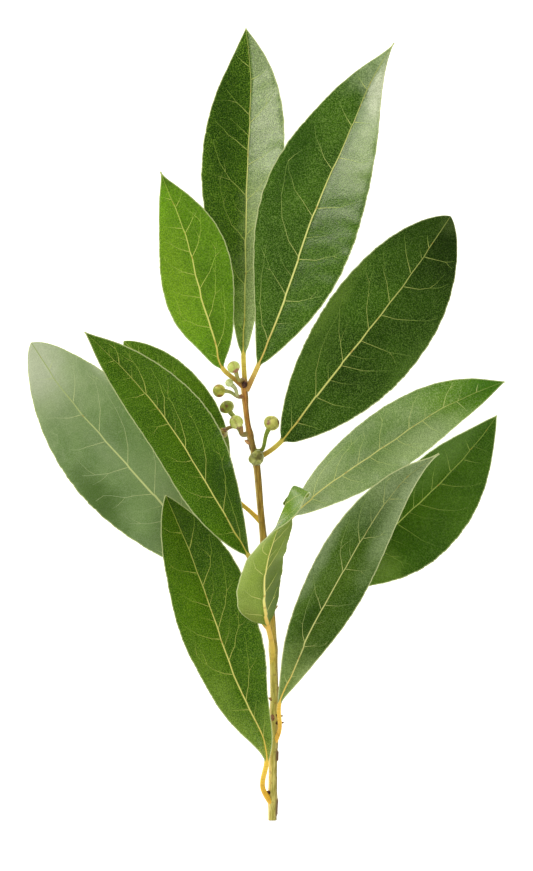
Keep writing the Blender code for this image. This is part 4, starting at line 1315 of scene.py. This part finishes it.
def bud_material(name, look):
    """Bracts in two greens, brown on their seams, marks and tips."""
    nodes = Nodes(name)
    seam, mark, along = nodes.attribute("plan")
    where = nodes.where()
    grain = nodes.noise(where, scale=520.0, detail=3.0)
    body = nodes.tones(nodes.rise(grain, 0.34, 0.66), look.dark, look.pale)
    blotch = nodes.ramp(nodes.noise(where, scale=900.0, detail=3.0), 0.3, 0.6, 0.55, 1.0)
    for amount in (nodes.times(seam, 0.55), nodes.times(mark, blotch), nodes.rise(along, 0.86, 1.0, 0.5)):
        body = nodes.paint(body, look.mark, amount)
    nodes.bump(nodes.noise(where, scale=2600.0), 0.3)
    return nodes.finish(body, 0.36, 0.45)


def stalk_material(name, look):
    nodes = Nodes(name)
    along = nodes.attribute("plan")[0]
    grain = nodes.noise(nodes.where(), scale=900.0, detail=3.0)
    body = nodes.tones(nodes.rise(along, 0.22, 0.50), *look.stalk)
    body = nodes.paint(body, darker(look.stalk[1], 0.7), nodes.rise(grain, 0.4, 0.7, 0.4))
    return nodes.finish(body, 0.45, 0.4)


# ---------------- floor, lights, camera
# The studio's lengths are in metres
FLOOR_HALF = 3.0
FLOOR_GREY, FLOOR_GLOW = 0.9, 0.85
SKY_COLOUR, SKY_STRENGTH = (1.0, 0.985, 0.93, 1.0), 0.88
# Name, place, size, power and colour
LIGHTS = (
    ("key", (-1.02, 0.76, 0.27), 0.62, 6.4, (1.0, 0.95, 0.82)),
    ("fill", (0.0, -1.1, 0.75), 0.8, 3.0, (1.0, 0.97, 0.9)),
)
LIGHT_AIM = (0.0, 0.0, 0.01)
CAMERA_PLACE = (0.00014, -0.0032, 2.0)
CAMERA_LENS, CAMERA_SENSOR = 297.6, 36.0


def make_floor():
    mesh = bpy.data.meshes.new("floor")
    corners = [(x * FLOOR_HALF, y * FLOOR_HALF, 0.0) for x, y in ((-1, -1), (1, -1), (1, 1), (-1, 1))]
    mesh.from_pydata(corners, [], [(0, 1, 2, 3)])
    floor = bpy.data.objects.new("floor", mesh)
    bpy.context.scene.collection.objects.link(floor)
    nodes = Nodes("floor_white")
    nodes.shader.inputs["Emission Color"].default_value = (1.0, 1.0, 1.0, 1.0)
    nodes.shader.inputs["Emission Strength"].default_value = FLOOR_GLOW
    mesh.materials.append(nodes.finish((FLOOR_GREY, FLOOR_GREY, FLOOR_GREY, 1.0), 0.9, 0.1))


def add_light(name, place, size, power, colour):
    lamp = bpy.data.lights.new(name, "AREA")
    lamp.shape = "DISK"
    lamp.size = size
    lamp.energy = power
    lamp.color = colour
    obj = bpy.data.objects.new(name, lamp)
    obj.location = place
    aim = Vector(LIGHT_AIM) - Vector(place)
    obj.rotation_euler = aim.to_track_quat("-Z", "Y").to_euler()
    bpy.context.scene.collection.objects.link(obj)


def make_sky():
    world = bpy.data.worlds.new("studio")
    world.use_nodes = True
    background = world.node_tree.nodes["Background"]
    background.inputs[0].default_value = SKY_COLOUR
    background.inputs[1].default_value = SKY_STRENGTH
    bpy.context.scene.world = world
    world.cycles_visibility.glossy = False


def make_camera():
    camera = bpy.data.cameras.new("camera")
    camera.lens = CAMERA_LENS
    camera.sensor_width = CAMERA_SENSOR
    camera.clip_start = 0.05
    camera.clip_end = 20.0
    holder = bpy.data.objects.new("camera", camera)
    holder.location = CAMERA_PLACE
    bpy.context.scene.collection.objects.link(holder)
    bpy.context.scene.camera = holder
    bpy.context.scene.view_settings.view_transform = "Standard"


make_stem()
for one in LEAVES:
    make_leaf(one)
for spray, members in BUD_SPRAYS.items():
    make_spray(spray, members)
make_floor()
make_sky()
for light in LIGHTS:
    add_light(*light)
make_camera()
